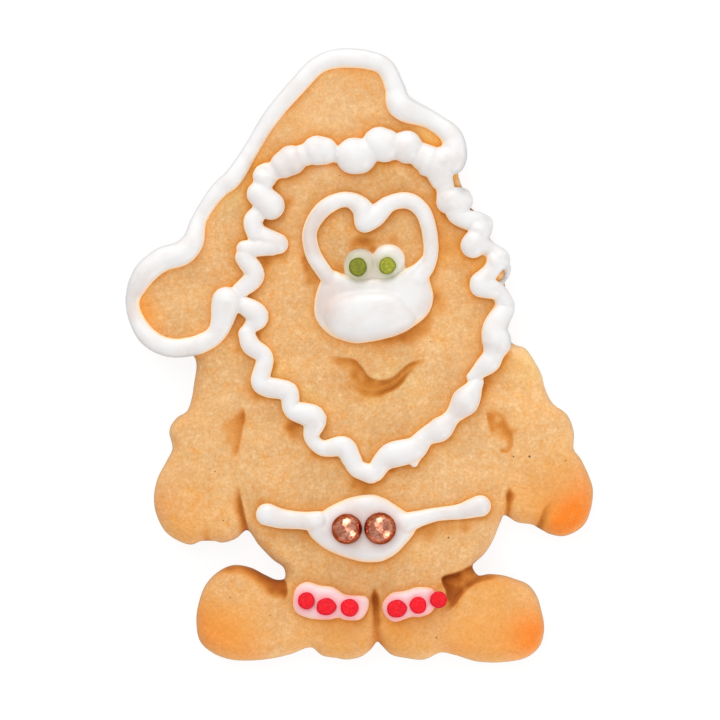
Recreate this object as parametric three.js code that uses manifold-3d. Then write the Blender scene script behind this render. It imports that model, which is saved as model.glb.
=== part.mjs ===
// A Father Christmas biscuit: a flat figure with a drooping hat, open arms and two feet, piped with
// white icing for the hat's edge, the beard, the face, the belt and the boot cuffs, and decorated with
// two copper sugar pearls and round confetti.
//
// Millimetres. The biscuit lies on its back: +Z up, +Y towards the tip of the hat, +X to the right of
// the face as it is seen. The origin is on the table, under the middle of the figure.

import * as THREE from 'three';
import { mergeVertices } from 'three/addons/utils/BufferGeometryUtils.js';
import Module from 'manifold-3d';

const wasm = await Module();
wasm.setup();

// ---------------------------------------------------------------- driving dimensions

const CRUST_HEIGHT = 7.0; // thickness of the baked biscuit
const EDGE_HEIGHT = 2.4; // height of the widest line of its side
const TOP_ROUND = 2.6; // how far the rounded upper edge reaches inwards
const BOTTOM_ROUND = 0.8; // the same for the edge underneath
const ROUND_STEPS = 3; // facets across the upper rounding

const GAP = 0.3; // air between two pieces that touch
const ICING_RISE = 0.82; // height of a piped bead's section, as a share of its width
const ICING_SIT = 0.25; // how far its middle lies above the crust, as a share of its half width
const BEAD_SIDES = 8;
const END_REACH = 0.8; // a bead's rounded end, beyond its last section, in half widths
const END_SHARE = 0.5; // and the size of the section there
const BEAD_STEP = 2.8; // rough spacing of the sections along a bead or a crease
const CREASE_SPREAD = 1.15; // half width of a crease's oval cutter, against its width at the surface
const CREASE_FULL = 0.6; // share of its widest place from which a crease has its full depth
const PAD_ROUND = 0.7; // how far a pad's rounded side reaches inwards, as a share of its height
const PAD_STEPS = 2;

const PEARL_SEGMENTS = 14;
const DROP_SEGMENTS = 16;
const DOT_HEIGHT = 1.3; // thickness of a confetti disc
const DOT_BEVEL = 0.3;
const DOT_SINK = 0.5; // how deep it is pressed into the icing
const DOT_SEGMENTS = 12;

// ---------------------------------------------------------------- the outline, anticlockwise

const HAT = [
  [19.6, 36.6], [20.7, 39.4], [20.4, 42], [18.6, 45.4], [14.4, 47.9], [9.4, 51.2], [7.9, 55.2],
  [5.4, 58.9], [1, 60.6], [-4, 60.6], [-8.6, 59.4], [-13.6, 54.8], [-18.2, 49], [-23, 41],
  [-26.6, 36.4], [-30.8, 31.8], [-33.6, 26.4], [-36.2, 22.4], [-40.4, 21.1], [-44.4, 17.9],
  [-46, 12], [-45.4, 6.8], [-42.6, 2], [-37.6, -0.1], [-33.4, -0.1],
];
const LEFT_ARM = [
  [-32.8, -1.8], [-33.4, -8], [-34.8, -11.5], [-37.3, -13.3], [-38.1, -15.8], [-37.6, -19],
  [-39.8, -23.2], [-41.1, -28], [-40.6, -32.2], [-38.3, -36], [-33.8, -37.9], [-31.4, -37.2],
  [-27.4, -37.5], [-22.7, -35.1],
];
const LEFT_FOOT = [
  [-20.4, -37.8], [-16.1, -41.9], [-15.1, -44.6], [-17.2, -45], [-21.6, -42.8], [-25.6, -42.1],
  [-29, -44], [-31.6, -47.6], [-32.7, -53], [-31.3, -58.3], [-26, -60.9], [-18.4, -60.9],
  [-13, -59.5], [-9.8, -58.5], [-6.8, -60.3], [-2, -60.9], [1.4, -59.6], [3.6, -57.4],
];
const RIGHT_FOOT = [
  [5.8, -59.5], [9, -60.6], [13, -60.8], [16.4, -59.5], [20.4, -60.6], [26, -61.4], [31.6, -61.1],
  [35.6, -58.6], [36.8, -54.4], [35.8, -49.4], [33.4, -46], [28.6, -44.2], [24.4, -44.2],
  [22.5, -42.6], [24.6, -40], [27, -36], [28.7, -32.1],
];
const RIGHT_ARM = [
  [31.2, -33.3], [35.2, -34], [38.2, -35.8], [41.6, -36], [45, -33.4], [46.5, -28.4], [45.6, -23.8],
  [42.9, -19], [42.5, -14.6], [40.8, -11.6], [38, -8.8], [36.4, -4.2], [33.6, 0.9], [30.4, 2.2],
];
const CHEEK = [
  [28.9, 5], [29.8, 9.4], [28.8, 15], [29, 19], [26, 23.2], [25.8, 26.6], [22, 29.6], [20.6, 33],
];
const OUTLINE = [...HAT, ...LEFT_ARM, ...LEFT_FOOT, ...RIGHT_FOOT, ...RIGHT_ARM, ...CHEEK];

// ---------------------------------------------------------------- creases: x, y, half width

const CREASES = [
  { depth: 1.2, knots: [[-5.8, -1.3, 0.7], [-2.4, -1.8, 1.2], [-0.2, -3.4, 1.9], [2.2, -5.8, 2.1],
    [5.2, -6.2, 1.6], [8.2, -4.8, 1.3], [10.4, -2.2, 1.1], [12.8, -1.2, 0.5]] }, // the smile
  { depth: 0.7, knots: [[-23.6, -11.6, 0.7], [-24.8, -15, 1.6], [-25.6, -20.2, 0.8]] }, // left armpit
  { depth: 0.6, knots: [[26, -11.8, 0.8], [28.4, -14.6, 1.7], [29.2, -19.4, 0.8]] }, // right armpit
  { depth: 1.8, knots: [[-24.4, -27.6, 0.5], [-24, -31, 1.1], [-22.4, -36.8, 1.3]] }, // left hand
  { depth: 1.6, knots: [[29.8, -27.4, 0.6], [29.7, -29.2, 1.0], [29, -33.4, 1.0]] }, // right hand
  { depth: 0.8, knots: [[35.6, -35, 0.8], [36.8, -31.4, 0.8], [39, -29.2, 0.3]] }, // right thumb
  { depth: 2.0, knots: [[2.9, -47.6, 0.5], [3.1, -50, 1.1], [3.6, -59, 1.3]] }, // between the feet
  { depth: 2.4, knots: [[-17.4, -43.6, 1.6], [-16.4, -46, 1.5], [-15.6, -48.8, 0.6]] }, // left boot
  { depth: 2.4, knots: [[24, -42.8, 1.2], [19.4, -45.4, 1.9], [18.3, -50.4, 0.6]] }, // right boot
];

// ---------------------------------------------------------------- piped beads: x, y, half width

const HAT_EDGE = [
  [-27.2, 10.9, 2.5], [-28.2, 5.2, 2], [-32.5, 2.2, 1.8], [-38, 1.6, 1.9], [-42.9, 4, 1.7],
  [-45.2, 10, 1.3], [-43.8, 15.9, 2.1], [-39.5, 19.3, 2.5], [-35.5, 20.4, 2.4], [-33.2, 23.5, 2],
  [-32.1, 27.5, 1.5], [-27.9, 33.6, 1.7], [-25.5, 35.4, 2], [-22, 40.8, 1.6], [-18.2, 47.3, 1.8],
  [-13.1, 53.3, 1.9], [-8.1, 58.3, 1.8], [-2, 59.2, 1.9], [4.1, 58.1, 1.9], [6.9, 53.1, 2],
  [8.4, 49.4, 2.3], [14.3, 46.9, 1.8], [18.6, 43.5, 1.9], [18.9, 40, 2.4],
];
const BRIM = [
  [-19.1, 36.1, 2.4], [-17, 37, 2.1], [-14.2, 38.8, 3.1], [-11.2, 39.9, 2.2], [-8.1, 40.8, 3],
  [-4.7, 40.1, 2], [-0.9, 39.7, 3.6], [1.8, 41, 2.9], [4.4, 42.1, 3.4], [7.3, 41.7, 2.9],
  [10.4, 40.8, 3.3], [12.8, 39.2, 2.8], [15, 37.4, 2.7],
];
const BEARD_LEFT = [
  [-18, 30, 3], [-21.3, 26.8, 2.2], [-20.8, 23.6, 2.3], [-22.8, 20.6, 2.4], [-21, 16.2, 2.1],
  [-23.1, 11.9, 2.1], [-20.6, 7.9, 2.5], [-22.4, 4, 2.1], [-20.4, 0, 2.3], [-19.3, -2.9, 2],
  [-19.4, -5.9, 2.1], [-16.8, -7, 2.1], [-14.1, -7.9, 2.2], [-13.5, -10.9, 2.2], [-11.2, -12, 2.2],
  [-8.9, -13.2, 2.5], [-9.4, -16.6, 2], [-7.4, -18.7, 2.1], [-4, -18.4, 2.3], [-2, -20.4, 2.2],
  [0.3, -23, 2], [2.2, -23.7, 2.1],
];
const BEARD_RIGHT = [
  [2.2, -23.7, 2.1], [4.3, -21.6, 2.3], [7.4, -19.8, 2.7], [11.2, -18.8, 2.9], [13.2, -17, 2.4],
  [15.7, -14.9, 2.7], [18.2, -12.4, 1.9], [20.9, -9.4, 3], [23, -5.6, 1.8], [25.5, -1.6, 2.7],
  [27, 3, 2.9], [27.1, 6.8, 2.2], [28.6, 9.9, 2.2], [27.2, 12.4, 1.7], [24.4, 14.6, 2.4],
];
const BEARD_CURLS = [
  [[-20.2, 32.8, 2.5], [-18, 30, 3]],
  [[-20.6, 23.6, 2.3], [-18.4, 22.9, 2.6], [-15.9, 22, 1.6]],
  [[11.3, -19.5, 2], [11.3, -22.4, 0.9]],
  [[24.4, 14.6, 2.4], [27.6, 18.8, 2.3], [25.2, 21.2, 1.8], [22.5, 22.4, 2.5]],
  [[22.5, 22.4, 2.5], [24.2, 25.9, 2.4], [21.4, 27.2, 1.9], [18.2, 29.2, 2.2]],
  [[17.8, 30.4, 2.4], [20.1, 31.3, 2.3]],
  [[18, 30, 2.3], [17.2, 32.6, 2.3], [16.4, 35, 2.1]],
];
const FACE_LEFT = [
  [-6.8, 14.6, 1.8], [-7.2, 16.4, 1.8], [-9.6, 20.8, 1.7], [-9.6, 25.6, 1.7], [-6.8, 29.6, 1.7],
  [-2.2, 31.1, 1.8], [0.6, 29, 2.1], [1.1, 26.6, 2.2],
];
const FACE_RIGHT = [
  [1.4, 27.2, 2], [3.4, 28, 2.1], [6.2, 30.6, 1.9], [9.6, 30.9, 1.7], [12.9, 28.2, 1.7],
  [14.1, 22.8, 1.7], [13.2, 17.8, 1.9], [12, 14.6, 2.1],
];
const BELT_LEFT = [[-18.5, -32.1, 2.4], [-15.6, -32.7, 2.1], [-12.4, -33.2, 1.75], [-8, -33.6, 1.9]];
const BELT_RIGHT = [
  [8, -33.6, 1.9], [12, -32.9, 1.8], [16, -31.8, 1.5], [19.6, -31.4, 1.7], [24.1, -30.4, 2.3],
];

// ---------------------------------------------------------------- icing pads and drops

const MOUSTACHE_PAD = [
  [-8, 14.6], [-8.9, 11.4], [-9, 8], [-7.6, 5.3], [-4.7, 3.3], [-0.6, 2.6], [4.2, 3.4], [9.2, 4.9],
  [12.8, 7.6], [14.4, 11.4], [13.8, 15], [8.6, 16.6], [3, 14.8], [-3.6, 15.8],
];
const MOUSTACHE_HEIGHT = 1.9;
const MOUSTACHE_DROP = { x: 1.2, y: 8.7, halfX: 8.3, halfY: 5.6, height: 4 };
const EYE_WHITES = [[0.1, 18, 3.3], [5.9, 18.8, 3.3]];
const EYE_WHITE_HEIGHT = 1.9;
const BUCKLE_PAD = [
  [11, -34.6], [8.9, -38.5], [5, -41], [1, -41.6], [-4.4, -40.3], [-8.7, -38], [-10.8, -34.8],
  [-9.4, -31.9], [-5, -29.6], [-0.6, -28.2], [3.4, -28.3], [7.4, -30.2],
];
const BUCKLE_HEIGHT = 2.2;
const CUFF_LEFT = [
  [1.8, -50.2], [0.4, -52.4], [-2.2, -53.1], [-4.8, -52.4], [-8, -52.8], [-12, -52], [-13.5, -49.4],
  [-12.7, -46.4], [-10.2, -45.5], [-5.8, -46.4], [-1.8, -47.8], [1, -48.5],
];
const CUFF_RIGHT = [
  [4.3, -50.3], [5.2, -48.3], [8, -47.1], [12, -46.3], [15.4, -46.9], [17.1, -48.8], [15.4, -50.8],
  [12, -52.4], [9.4, -52.7], [7, -53.4], [5, -52.2],
];
const CUFF_HEIGHT = 1.9;

const PEARLS = { pearl_left: [-2.65, -34.75, 2.9], pearl_right: [4, -34.65, 3.05] };
const EYE_DOTS = { eye_dot_left: [-0.45, 17.6, 1.8], eye_dot_right: [5.45, 17.85, 1.7] };
const CUFF_DOTS = {
  cuff_dot_1: [-10.75, -49.1, 1.7], cuff_dot_2: [-6.75, -50.3, 1.85], cuff_dot_3: [-2.1, -50.5, 1.8],
  cuff_dot_4: [7.35, -50.7, 1.85], cuff_dot_5: [11.6, -50, 1.7], cuff_dot_6: [15.7, -48.9, 1.7],
};

// ---------------------------------------------------------------- materials

const paint = (color, roughness, metalness = 0) =>
  new THREE.MeshStandardMaterial({ color, roughness, metalness });
const BAKED = paint('#dba365', 0.85);
const ICING = paint('#f1ede9', 0.45);
const COPPER = paint('#a4523a', 0.3, 0.8);
const GREEN = paint('#8f9a2c', 0.7);
const RED = paint('#dd2434', 0.6);

// ---------------------------------------------------------------- solids from geometries

// A closed geometry as a solid that can be joined and cut.
function solidOf(geometry) {
  geometry.deleteAttribute('normal');
  geometry.deleteAttribute('uv');
  const merged = mergeVertices(geometry, 1e-4);
  const corners = [];
  for (let i = 0; i < merged.index.count; i += 3) {
    const [a, b, c] = [0, 1, 2].map((k) => merged.index.getX(i + k));
    if (a !== b && b !== c && c !== a) corners.push(a, b, c);
  }
  return new wasm.Manifold(new wasm.Mesh({
    numProp: 3,
    vertProperties: new Float32Array(merged.attributes.position.array),
    triVerts: new Uint32Array(corners),
  }));
}

function geometryOf(solid) {
  const mesh = solid.getMesh();
  const geometry = new THREE.BufferGeometry();
  geometry.setAttribute('position', new THREE.BufferAttribute(mesh.vertProperties, 3));
  geometry.setIndex(new THREE.BufferAttribute(mesh.triVerts, 1));
  geometry.computeVertexNormals();
  return geometry;
}

const join = (solids) => solids.reduce((whole, piece) => whole.add(piece));
const cut = (solid, cutters) => cutters.reduce((rest, cutter) => rest.subtract(cutter), solid);

// The largest body that a cut leaves.
function mainBody(solid) {
  return solid.decompose().reduce((best, piece) => (piece.volume() > best.volume() ? piece : best));
}

// Closed rings of equally many points, one above or after the other, skinned and capped.
// Each cap is a list of triangles of ring positions, facing out at the last ring.
function skin(rings, startCap, endCap) {
  const count = rings[0].length;
  const index = [];
  for (let ring = 0; ring + 1 < rings.length; ring += 1) {
    for (let i = 0; i < count; i += 1) {
      const next = (i + 1) % count;
      const [a, b] = [ring * count + i, ring * count + next];
      index.push(a, b, b + count, a, b + count, a + count);
    }
  }
  const last = (rings.length - 1) * count;
  startCap.forEach(([a, b, c]) => index.push(a, c, b));
  endCap.forEach(([a, b, c]) => index.push(last + a, last + b, last + c));
  const geometry = new THREE.BufferGeometry().setFromPoints(rings.flat());
  geometry.setIndex(index);
  return solidOf(geometry);
}

// ---------------------------------------------------------------- slabs

// The smooth closed outline through some points, anticlockwise.
function smoothOutline(points) {
  const knots = points.map(([x, y]) => new THREE.Vector3(x, y, 0));
  if (THREE.ShapeUtils.isClockWise(knots)) knots.reverse();
  const samples = new THREE.CatmullRomCurve3(knots, true, 'centripetal').getPoints(2 * knots.length);
  samples.pop();
  return samples;
}

// An outline moved inwards along its normals, at one height.
function insetRing(outline, inset, z) {
  const count = outline.length;
  return outline.map((point, i) => {
    const along = outline[(i + 1) % count].clone().sub(outline[(i + count - 1) % count]).normalize();
    return new THREE.Vector3(point.x - along.y * inset, point.y + along.x * inset, z);
  });
}

// A flat piece with its outline, built up from levels of inset and height, lowest first.
function slab(outline, levels) {
  const rings = levels.map(([inset, z]) => insetRing(outline, inset, z));
  const flat = (ring) => THREE.ShapeUtils.triangulateShape(ring, []);
  return skin(rings, flat(rings[0]), flat(rings[rings.length - 1]));
}

// Insets and heights of a quarter ellipse that closes a side towards its top.
function roundedTop(from, to, reach, steps) {
  return Array.from({ length: steps + 1 }, (_, i) => {
    const turn = (i / steps) * Math.PI / 2;
    return [reach * (1 - Math.cos(turn)), from + (to - from) * Math.sin(turn)];
  });
}

const crustOutline = smoothOutline(OUTLINE);
const crustSide = roundedTop(EDGE_HEIGHT, CRUST_HEIGHT, TOP_ROUND, ROUND_STEPS);

// The biscuit, or the biscuit grown all round as a cutter for what lies on it.
function crust(grow = 0) {
  const levels = [[BOTTOM_ROUND - grow, -grow], ...crustSide.map(([inset, z]) => [inset - grow, z])];
  levels[levels.length - 1] = [TOP_ROUND - grow, CRUST_HEIGHT + grow];
  return slab(crustOutline, levels);
}

// Height of the crust's upper surface at a place near its edge or inside it.
function crustTop(x, y) {
  const here = new THREE.Vector3(x, y, 0);
  const side = new THREE.Line3();
  const nearest = new THREE.Vector3();
  const distances = crustOutline.map((point, i) => {
    side.set(point, crustOutline[(i + 1) % crustOutline.length]);
    return side.closestPointToPoint(here, true, nearest).distanceTo(here);
  });
  const inset = Math.min(...distances, TOP_ROUND);
  const turn = Math.acos(1 - inset / TOP_ROUND);
  return EDGE_HEIGHT + (CRUST_HEIGHT - EDGE_HEIGHT) * Math.sin(turn);
}

// A pad of icing on the flat of the crust, with a rounded side, or grown all round as a cutter.
function pad(points, height, grow = 0) {
  const base = CRUST_HEIGHT + GAP;
  const levels = roundedTop(base, base + height + grow, PAD_ROUND * height, PAD_STEPS);
  return slab(smoothOutline(points), levels.map(([inset, z]) => [inset - grow, z]));
}

// ---------------------------------------------------------------- beads and creases

// A bar of oval section with round ends through stations of place, half width and half height.
function bar(stations) {
  const first = stations[0];
  const last = stations[stations.length - 1];
  const direction = (i) => {
    const before = stations[Math.max(i - 1, 0)].place;
    const after = stations[Math.min(i + 1, stations.length - 1)].place;
    return after.clone().sub(before).setZ(0).normalize();
  };
  const section = ({ place, wide, high }, along, shift, scale) => {
    const across = new THREE.Vector3(-along.y, along.x, 0);
    return Array.from({ length: BEAD_SIDES }, (_, i) => {
      const turn = (i / BEAD_SIDES) * 2 * Math.PI;
      return place.clone()
        .addScaledVector(along, shift * wide)
        .addScaledVector(across, scale * wide * Math.cos(turn))
        .add(new THREE.Vector3(0, 0, scale * high * Math.sin(turn)));
    });
  };
  const rings = [
    section(first, direction(0), -END_REACH, END_SHARE),
    ...stations.map((station, i) => section(station, direction(i), 0, 1)),
    section(last, direction(stations.length - 1), END_REACH, END_SHARE),
  ];
  const fan = Array.from({ length: BEAD_SIDES - 2 }, (_, i) => [0, i + 1, i + 2]);
  return skin(rings, fan, fan);
}

// Places and half widths along the smooth line through some knots, with every knot among them.
function alongKnots(knots, step) {
  const points = knots.map(([x, y, half]) => new THREE.Vector3(x, y, half));
  const curve = new THREE.CatmullRomCurve3(points, false, 'centripetal');
  const spans = points.length - 1;
  const places = points.slice(1).flatMap((point, span) => {
    const parts = Math.max(1, Math.round(point.distanceTo(points[span]) / step));
    return Array.from({ length: parts }, (_, part) => curve.getPoint((span + (part + 1) / parts) / spans));
  });
  return [points[0], ...places];
}

// A piped bead that lies on the crust, or grown all round as a cutter for its neighbours.
function bead(knots, grow = 0) {
  return bar(alongKnots(knots, BEAD_STEP).map(({ x, y, z: half }) => ({
    place: new THREE.Vector3(x, y, crustTop(x, y) + GAP + ICING_SIT * half),
    wide: half + grow,
    high: ICING_RISE * half + grow,
  })));
}

// The cutter of a pressed crease, whose section is the lower part of an oval.
function crease({ depth, knots }) {
  const widest = Math.max(...knots.map(([, , half]) => half));
  return bar(alongKnots(knots, BEAD_STEP).map(({ x, y, z: half }) => {
    const deep = depth * Math.min(1, half / (CREASE_FULL * widest));
    return {
      place: new THREE.Vector3(x, y, CRUST_HEIGHT + deep),
      wide: CREASE_SPREAD * half,
      high: 2 * deep,
    };
  }));
}

// A squashed ball with its middle on the crust, or grown all round as a cutter.
function drop({ x, y, halfX, halfY, height }, grow = 0) {
  const ball = new THREE.SphereGeometry(1, DROP_SEGMENTS, DROP_SEGMENTS / 2).rotateX(Math.PI / 2);
  ball.scale(halfX + grow, halfY + grow, height + grow).translate(x, y, CRUST_HEIGHT);
  return solidOf(ball);
}

// ---------------------------------------------------------------- pearls and confetti

const pearlBall = (radius) => new THREE.SphereGeometry(radius, PEARL_SEGMENTS, PEARL_SEGMENTS / 2);

function confettiDisc(radius, grow = 0) {
  const [wide, low, high] = [radius + grow, -grow, DOT_HEIGHT + grow];
  const profile = [
    [0, low], [wide, low], [wide, high - DOT_BEVEL], [wide - DOT_BEVEL, high], [0, high],
  ].map(([x, y]) => new THREE.Vector2(x, y));
  return new THREE.LatheGeometry(profile, DOT_SEGMENTS).rotateX(Math.PI / 2);
}

const pearlPlace = ([x, y, radius]) => new THREE.Vector3(x, y, CRUST_HEIGHT + GAP + radius);
const dotPlace = ([x, y], icingHeight) =>
  new THREE.Vector3(x, y, CRUST_HEIGHT + GAP + icingHeight - DOT_SINK);

const pearlCutters = Object.values(PEARLS).map((pearl) =>
  solidOf(pearlBall(pearl[2] + GAP).translate(...pearlPlace(pearl))));
const dotCutters = (dots, icingHeight) => Object.values(dots).map((dot) =>
  solidOf(confettiDisc(dot[2], GAP).translate(...dotPlace(dot, icingHeight))));

// ---------------------------------------------------------------- the pieces

const cookie = new THREE.Group();

function addPiece(name, geometry, material, place = new THREE.Vector3()) {
  const mesh = new THREE.Mesh(geometry, material);
  mesh.name = name;
  mesh.position.copy(place);
  cookie.add(mesh);
}

const crustCutter = crust(GAP);
const hatEdgeCutter = bead(HAT_EDGE, GAP);
const brimCutter = bead(BRIM, GAP);
const addIcing = (name, solid, cutters = []) =>
  addPiece(name, geometryOf(mainBody(cut(solid, [crustCutter, ...cutters]))), ICING);

addPiece('biscuit', geometryOf(mainBody(cut(crust(), CREASES.map(crease)))), BAKED);

addIcing('hat_edge_icing', bead(HAT_EDGE));
addIcing('brim_icing', bead(BRIM), [hatEdgeCutter]);
addIcing('beard_icing', join([BEARD_LEFT, BEARD_RIGHT, ...BEARD_CURLS].map((knots) => bead(knots))),
  [hatEdgeCutter, brimCutter]);

const moustache = (grow) =>
  join([pad(MOUSTACHE_PAD, MOUSTACHE_HEIGHT, grow), drop(MOUSTACHE_DROP, grow)]);
const eyeWhites = (grow) => join(EYE_WHITES.map(([x, y, radius]) =>
  drop({ x, y, halfX: radius, halfY: radius, height: EYE_WHITE_HEIGHT + GAP }, grow)));
addIcing('moustache_icing', moustache(0));
addIcing('eye_white_icing', eyeWhites(0), [moustache(GAP), ...dotCutters(EYE_DOTS, EYE_WHITE_HEIGHT)]);
addIcing('face_ring_icing', join([bead(FACE_LEFT), bead(FACE_RIGHT)]), [moustache(GAP), eyeWhites(GAP)]);

addIcing('belt_icing', join([pad(BUCKLE_PAD, BUCKLE_HEIGHT), bead(BELT_LEFT), bead(BELT_RIGHT)]),
  pearlCutters);
const cuffCutters = dotCutters(CUFF_DOTS, CUFF_HEIGHT);
addIcing('cuff_left_icing', pad(CUFF_LEFT, CUFF_HEIGHT), cuffCutters);
addIcing('cuff_right_icing', pad(CUFF_RIGHT, CUFF_HEIGHT), cuffCutters);

Object.entries(PEARLS).forEach(([name, pearl]) =>
  addPiece(name, pearlBall(pearl[2]), COPPER, pearlPlace(pearl)));
Object.entries(EYE_DOTS).forEach(([name, dot]) =>
  addPiece(name, confettiDisc(dot[2]), GREEN, dotPlace(dot, EYE_WHITE_HEIGHT)));
Object.entries(CUFF_DOTS).forEach(([name, dot]) =>
  addPiece(name, confettiDisc(dot[2]), RED, dotPlace(dot, CUFF_HEIGHT)));

// The origin goes under the middle of the whole figure.
const extent = new THREE.Box3().setFromObject(cookie);
cookie.position.set(-(extent.min.x + extent.max.x) / 2, -(extent.min.y + extent.max.y) / 2, 0);

export default cookie;
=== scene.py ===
"""A Father Christmas biscuit: its baked crust, piped icing, sugar pearls and confetti.

Lengths in the tables below are millimetres, on a sheet whose +Y runs to the tip of the hat and whose
+X runs to the right of the face as it is seen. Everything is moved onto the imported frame, in metres,
as the last step of each piece.
"""

import math

import bpy
import numpy as np
from mathutils.geometry import delaunay_2d_cdt
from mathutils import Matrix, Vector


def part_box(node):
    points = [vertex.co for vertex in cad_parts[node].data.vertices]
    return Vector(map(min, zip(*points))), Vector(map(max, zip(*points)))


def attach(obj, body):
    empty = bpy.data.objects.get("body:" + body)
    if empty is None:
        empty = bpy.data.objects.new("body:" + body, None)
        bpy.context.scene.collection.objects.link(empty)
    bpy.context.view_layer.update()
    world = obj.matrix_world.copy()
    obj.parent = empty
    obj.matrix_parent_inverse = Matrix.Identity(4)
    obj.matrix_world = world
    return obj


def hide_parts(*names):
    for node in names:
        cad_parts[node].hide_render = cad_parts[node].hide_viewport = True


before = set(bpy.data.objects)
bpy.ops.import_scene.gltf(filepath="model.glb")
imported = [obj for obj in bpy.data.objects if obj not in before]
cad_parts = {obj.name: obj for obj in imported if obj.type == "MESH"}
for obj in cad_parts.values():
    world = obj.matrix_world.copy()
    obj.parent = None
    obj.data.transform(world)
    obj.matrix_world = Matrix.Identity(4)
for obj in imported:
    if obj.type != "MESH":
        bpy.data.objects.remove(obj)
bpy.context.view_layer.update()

bl_info = {
    "name": "Father Christmas biscuit",
    "version": (1, 0, 0),
    "blender": (4, 5, 0),
    "location": "View3D > Sidebar > Biscuit",
    "description": "Bakes, pipes and decorates a Father Christmas biscuit around its packed frame",
    "category": "Object",
}

MM = 0.001
CURVE_STEPS = 24  # points worked out between two knots of a curve
COARSE = 3  # every third point of the crust's edge is enough to measure a distance

# ------------------------------------------------------------------ crust: outline, anticlockwise

HAT = [
    (19.6, 36.6), (20.7, 39.4), (20.4, 42), (18.6, 45.4), (14.4, 47.9), (9.4, 51.2), (7.9, 55.2),
    (5.4, 58.9), (1, 60.6), (-4, 60.6), (-8.6, 59.4), (-13.6, 54.8), (-18.2, 49), (-23, 41), (-26.6, 36.4),
    (-30.8, 31.8), (-33.6, 26.4), (-36.2, 22.4), (-40.4, 21.1), (-44.4, 17.9), (-46, 12), (-45.4, 6.8),
    (-42.6, 2), (-37.6, -0.1), (-33.4, -0.1),
]
LEFT_ARM = [
    (-32.7, -1.7), (-33.2, -6), (-33.6, -8.5), (-34.6, -11.3), (-36.5, -12.5), (-37.8, -14.2),
    (-38.1, -15.5), (-37.5, -18.7), (-38.7, -21.3), (-40.5, -24.8), (-41.2, -28.8), (-40.7, -31.9),
    (-38.9, -35.3), (-36.2, -37.2), (-33.8, -37.9), (-31.8, -37.2), (-29, -37.2), (-27.6, -37.5),
    (-24.9, -36.7), (-22.6, -35),
]
LEFT_FOOT = [
    (-20.2, -38), (-17.4, -40.9), (-15.2, -42.6), (-15, -44.7), (-16.5, -45.1), (-19, -44.1), (-22, -42.6),
    (-25.5, -42.15), (-28.7, -43.7), (-31, -46.3), (-32.3, -50), (-32.7, -53), (-32, -57.2), (-29.6, -59.5),
    (-25.9, -60.9), (-21.8, -61.1), (-17.7, -60.7), (-13.8, -59.8), (-9.8, -58.5), (-7.5, -60.1),
    (-4.8, -60.6), (-2.8, -60.9), (0, -60.4), (2, -59), (3.5, -57.3),
]
RIGHT_FOOT = [
    (4.4, -58.1), (6.3, -59.9), (9.2, -60.6), (12.8, -60.9), (16.2, -59.5), (19, -60), (23.5, -61.3),
    (29, -61.4), (33.5, -60.4), (36, -58.1), (36.8, -54.7), (36.2, -51), (35.3, -48.2), (33.6, -46),
    (31, -44.9), (28.5, -44.15), (25.7, -43.95), (23.7, -44.2), (22.6, -42.9), (22.5, -42.1), (24.8, -39.8),
    (26.4, -37.4), (28.1, -33.3), (28.8, -32),
]
RIGHT_ARM = [
    (31.5, -33.4), (34.5, -33.9), (36, -34.7), (38.1, -35.8), (41, -36.15), (44.6, -34.2), (46.1, -31),
    (46.55, -27), (45.7, -24.1), (44.1, -20.8), (42.75, -18.9), (42.75, -15.5), (41.4, -12), (38.5, -9.7),
    (36.9, -6.5), (36.3, -4), (34.2, -0.2), (33, 1.3), (30.5, 2.3),
]
CHEEK = [
    (28.9, 5), (29.8, 9.4), (28.8, 15), (29, 19), (26, 23.2), (25.8, 26.6), (22, 29.6), (20.6, 33),
]
OUTLINE = [*HAT, *LEFT_ARM, *LEFT_FOOT, *RIGHT_FOOT, *RIGHT_ARM, *CHEEK]

CRUST_HEIGHT = 7.0
EDGE_HEIGHT = 2.4  # height of the widest line of the side
BOTTOM_ROUND = 0.8  # how far the edge underneath reaches inwards
OUTLINE_SPACING = 0.44
OUTLINE_MARGIN = 0.08  # how much the baked edge lies outside the drawn one
LEE_SIDE = np.array([0.42, -0.91])  # away from the main light
TOP_INSETS = (0.06, 0.24, 0.52, 0.9, 1.38, 1.95, 2.6)  # rings of points on the rounding
TOP_SPACING = 0.43
TOP_MARGIN = 3.0  # the even spread of points starts this far from the edge
UNDER_STEPS = 4  # rings of points between the widest line and the underside
UNDER_SPACING = 1.1
UNDER_MARGIN = 1.6
NEAR_ENOUGH = 0.93  # a ring's point is kept when it lies this share of its inset from any edge
CREASE_GAP = 0.15  # between a crease's own points and the others
AT_EDGE = 0.1  # so near the edge, which way it faces fades out
LUMPS = [(0.11, 15, 1), (0.055, 6, 2), (0.028, 2.6, 3)]  # height, length and seed of the swells

# ------------------------------------------------------------------ crust: pressed creases
# x, y, depth, the reach of its side on the left and on the right of the line as it runs, and the painted
# shade that browns it

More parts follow.
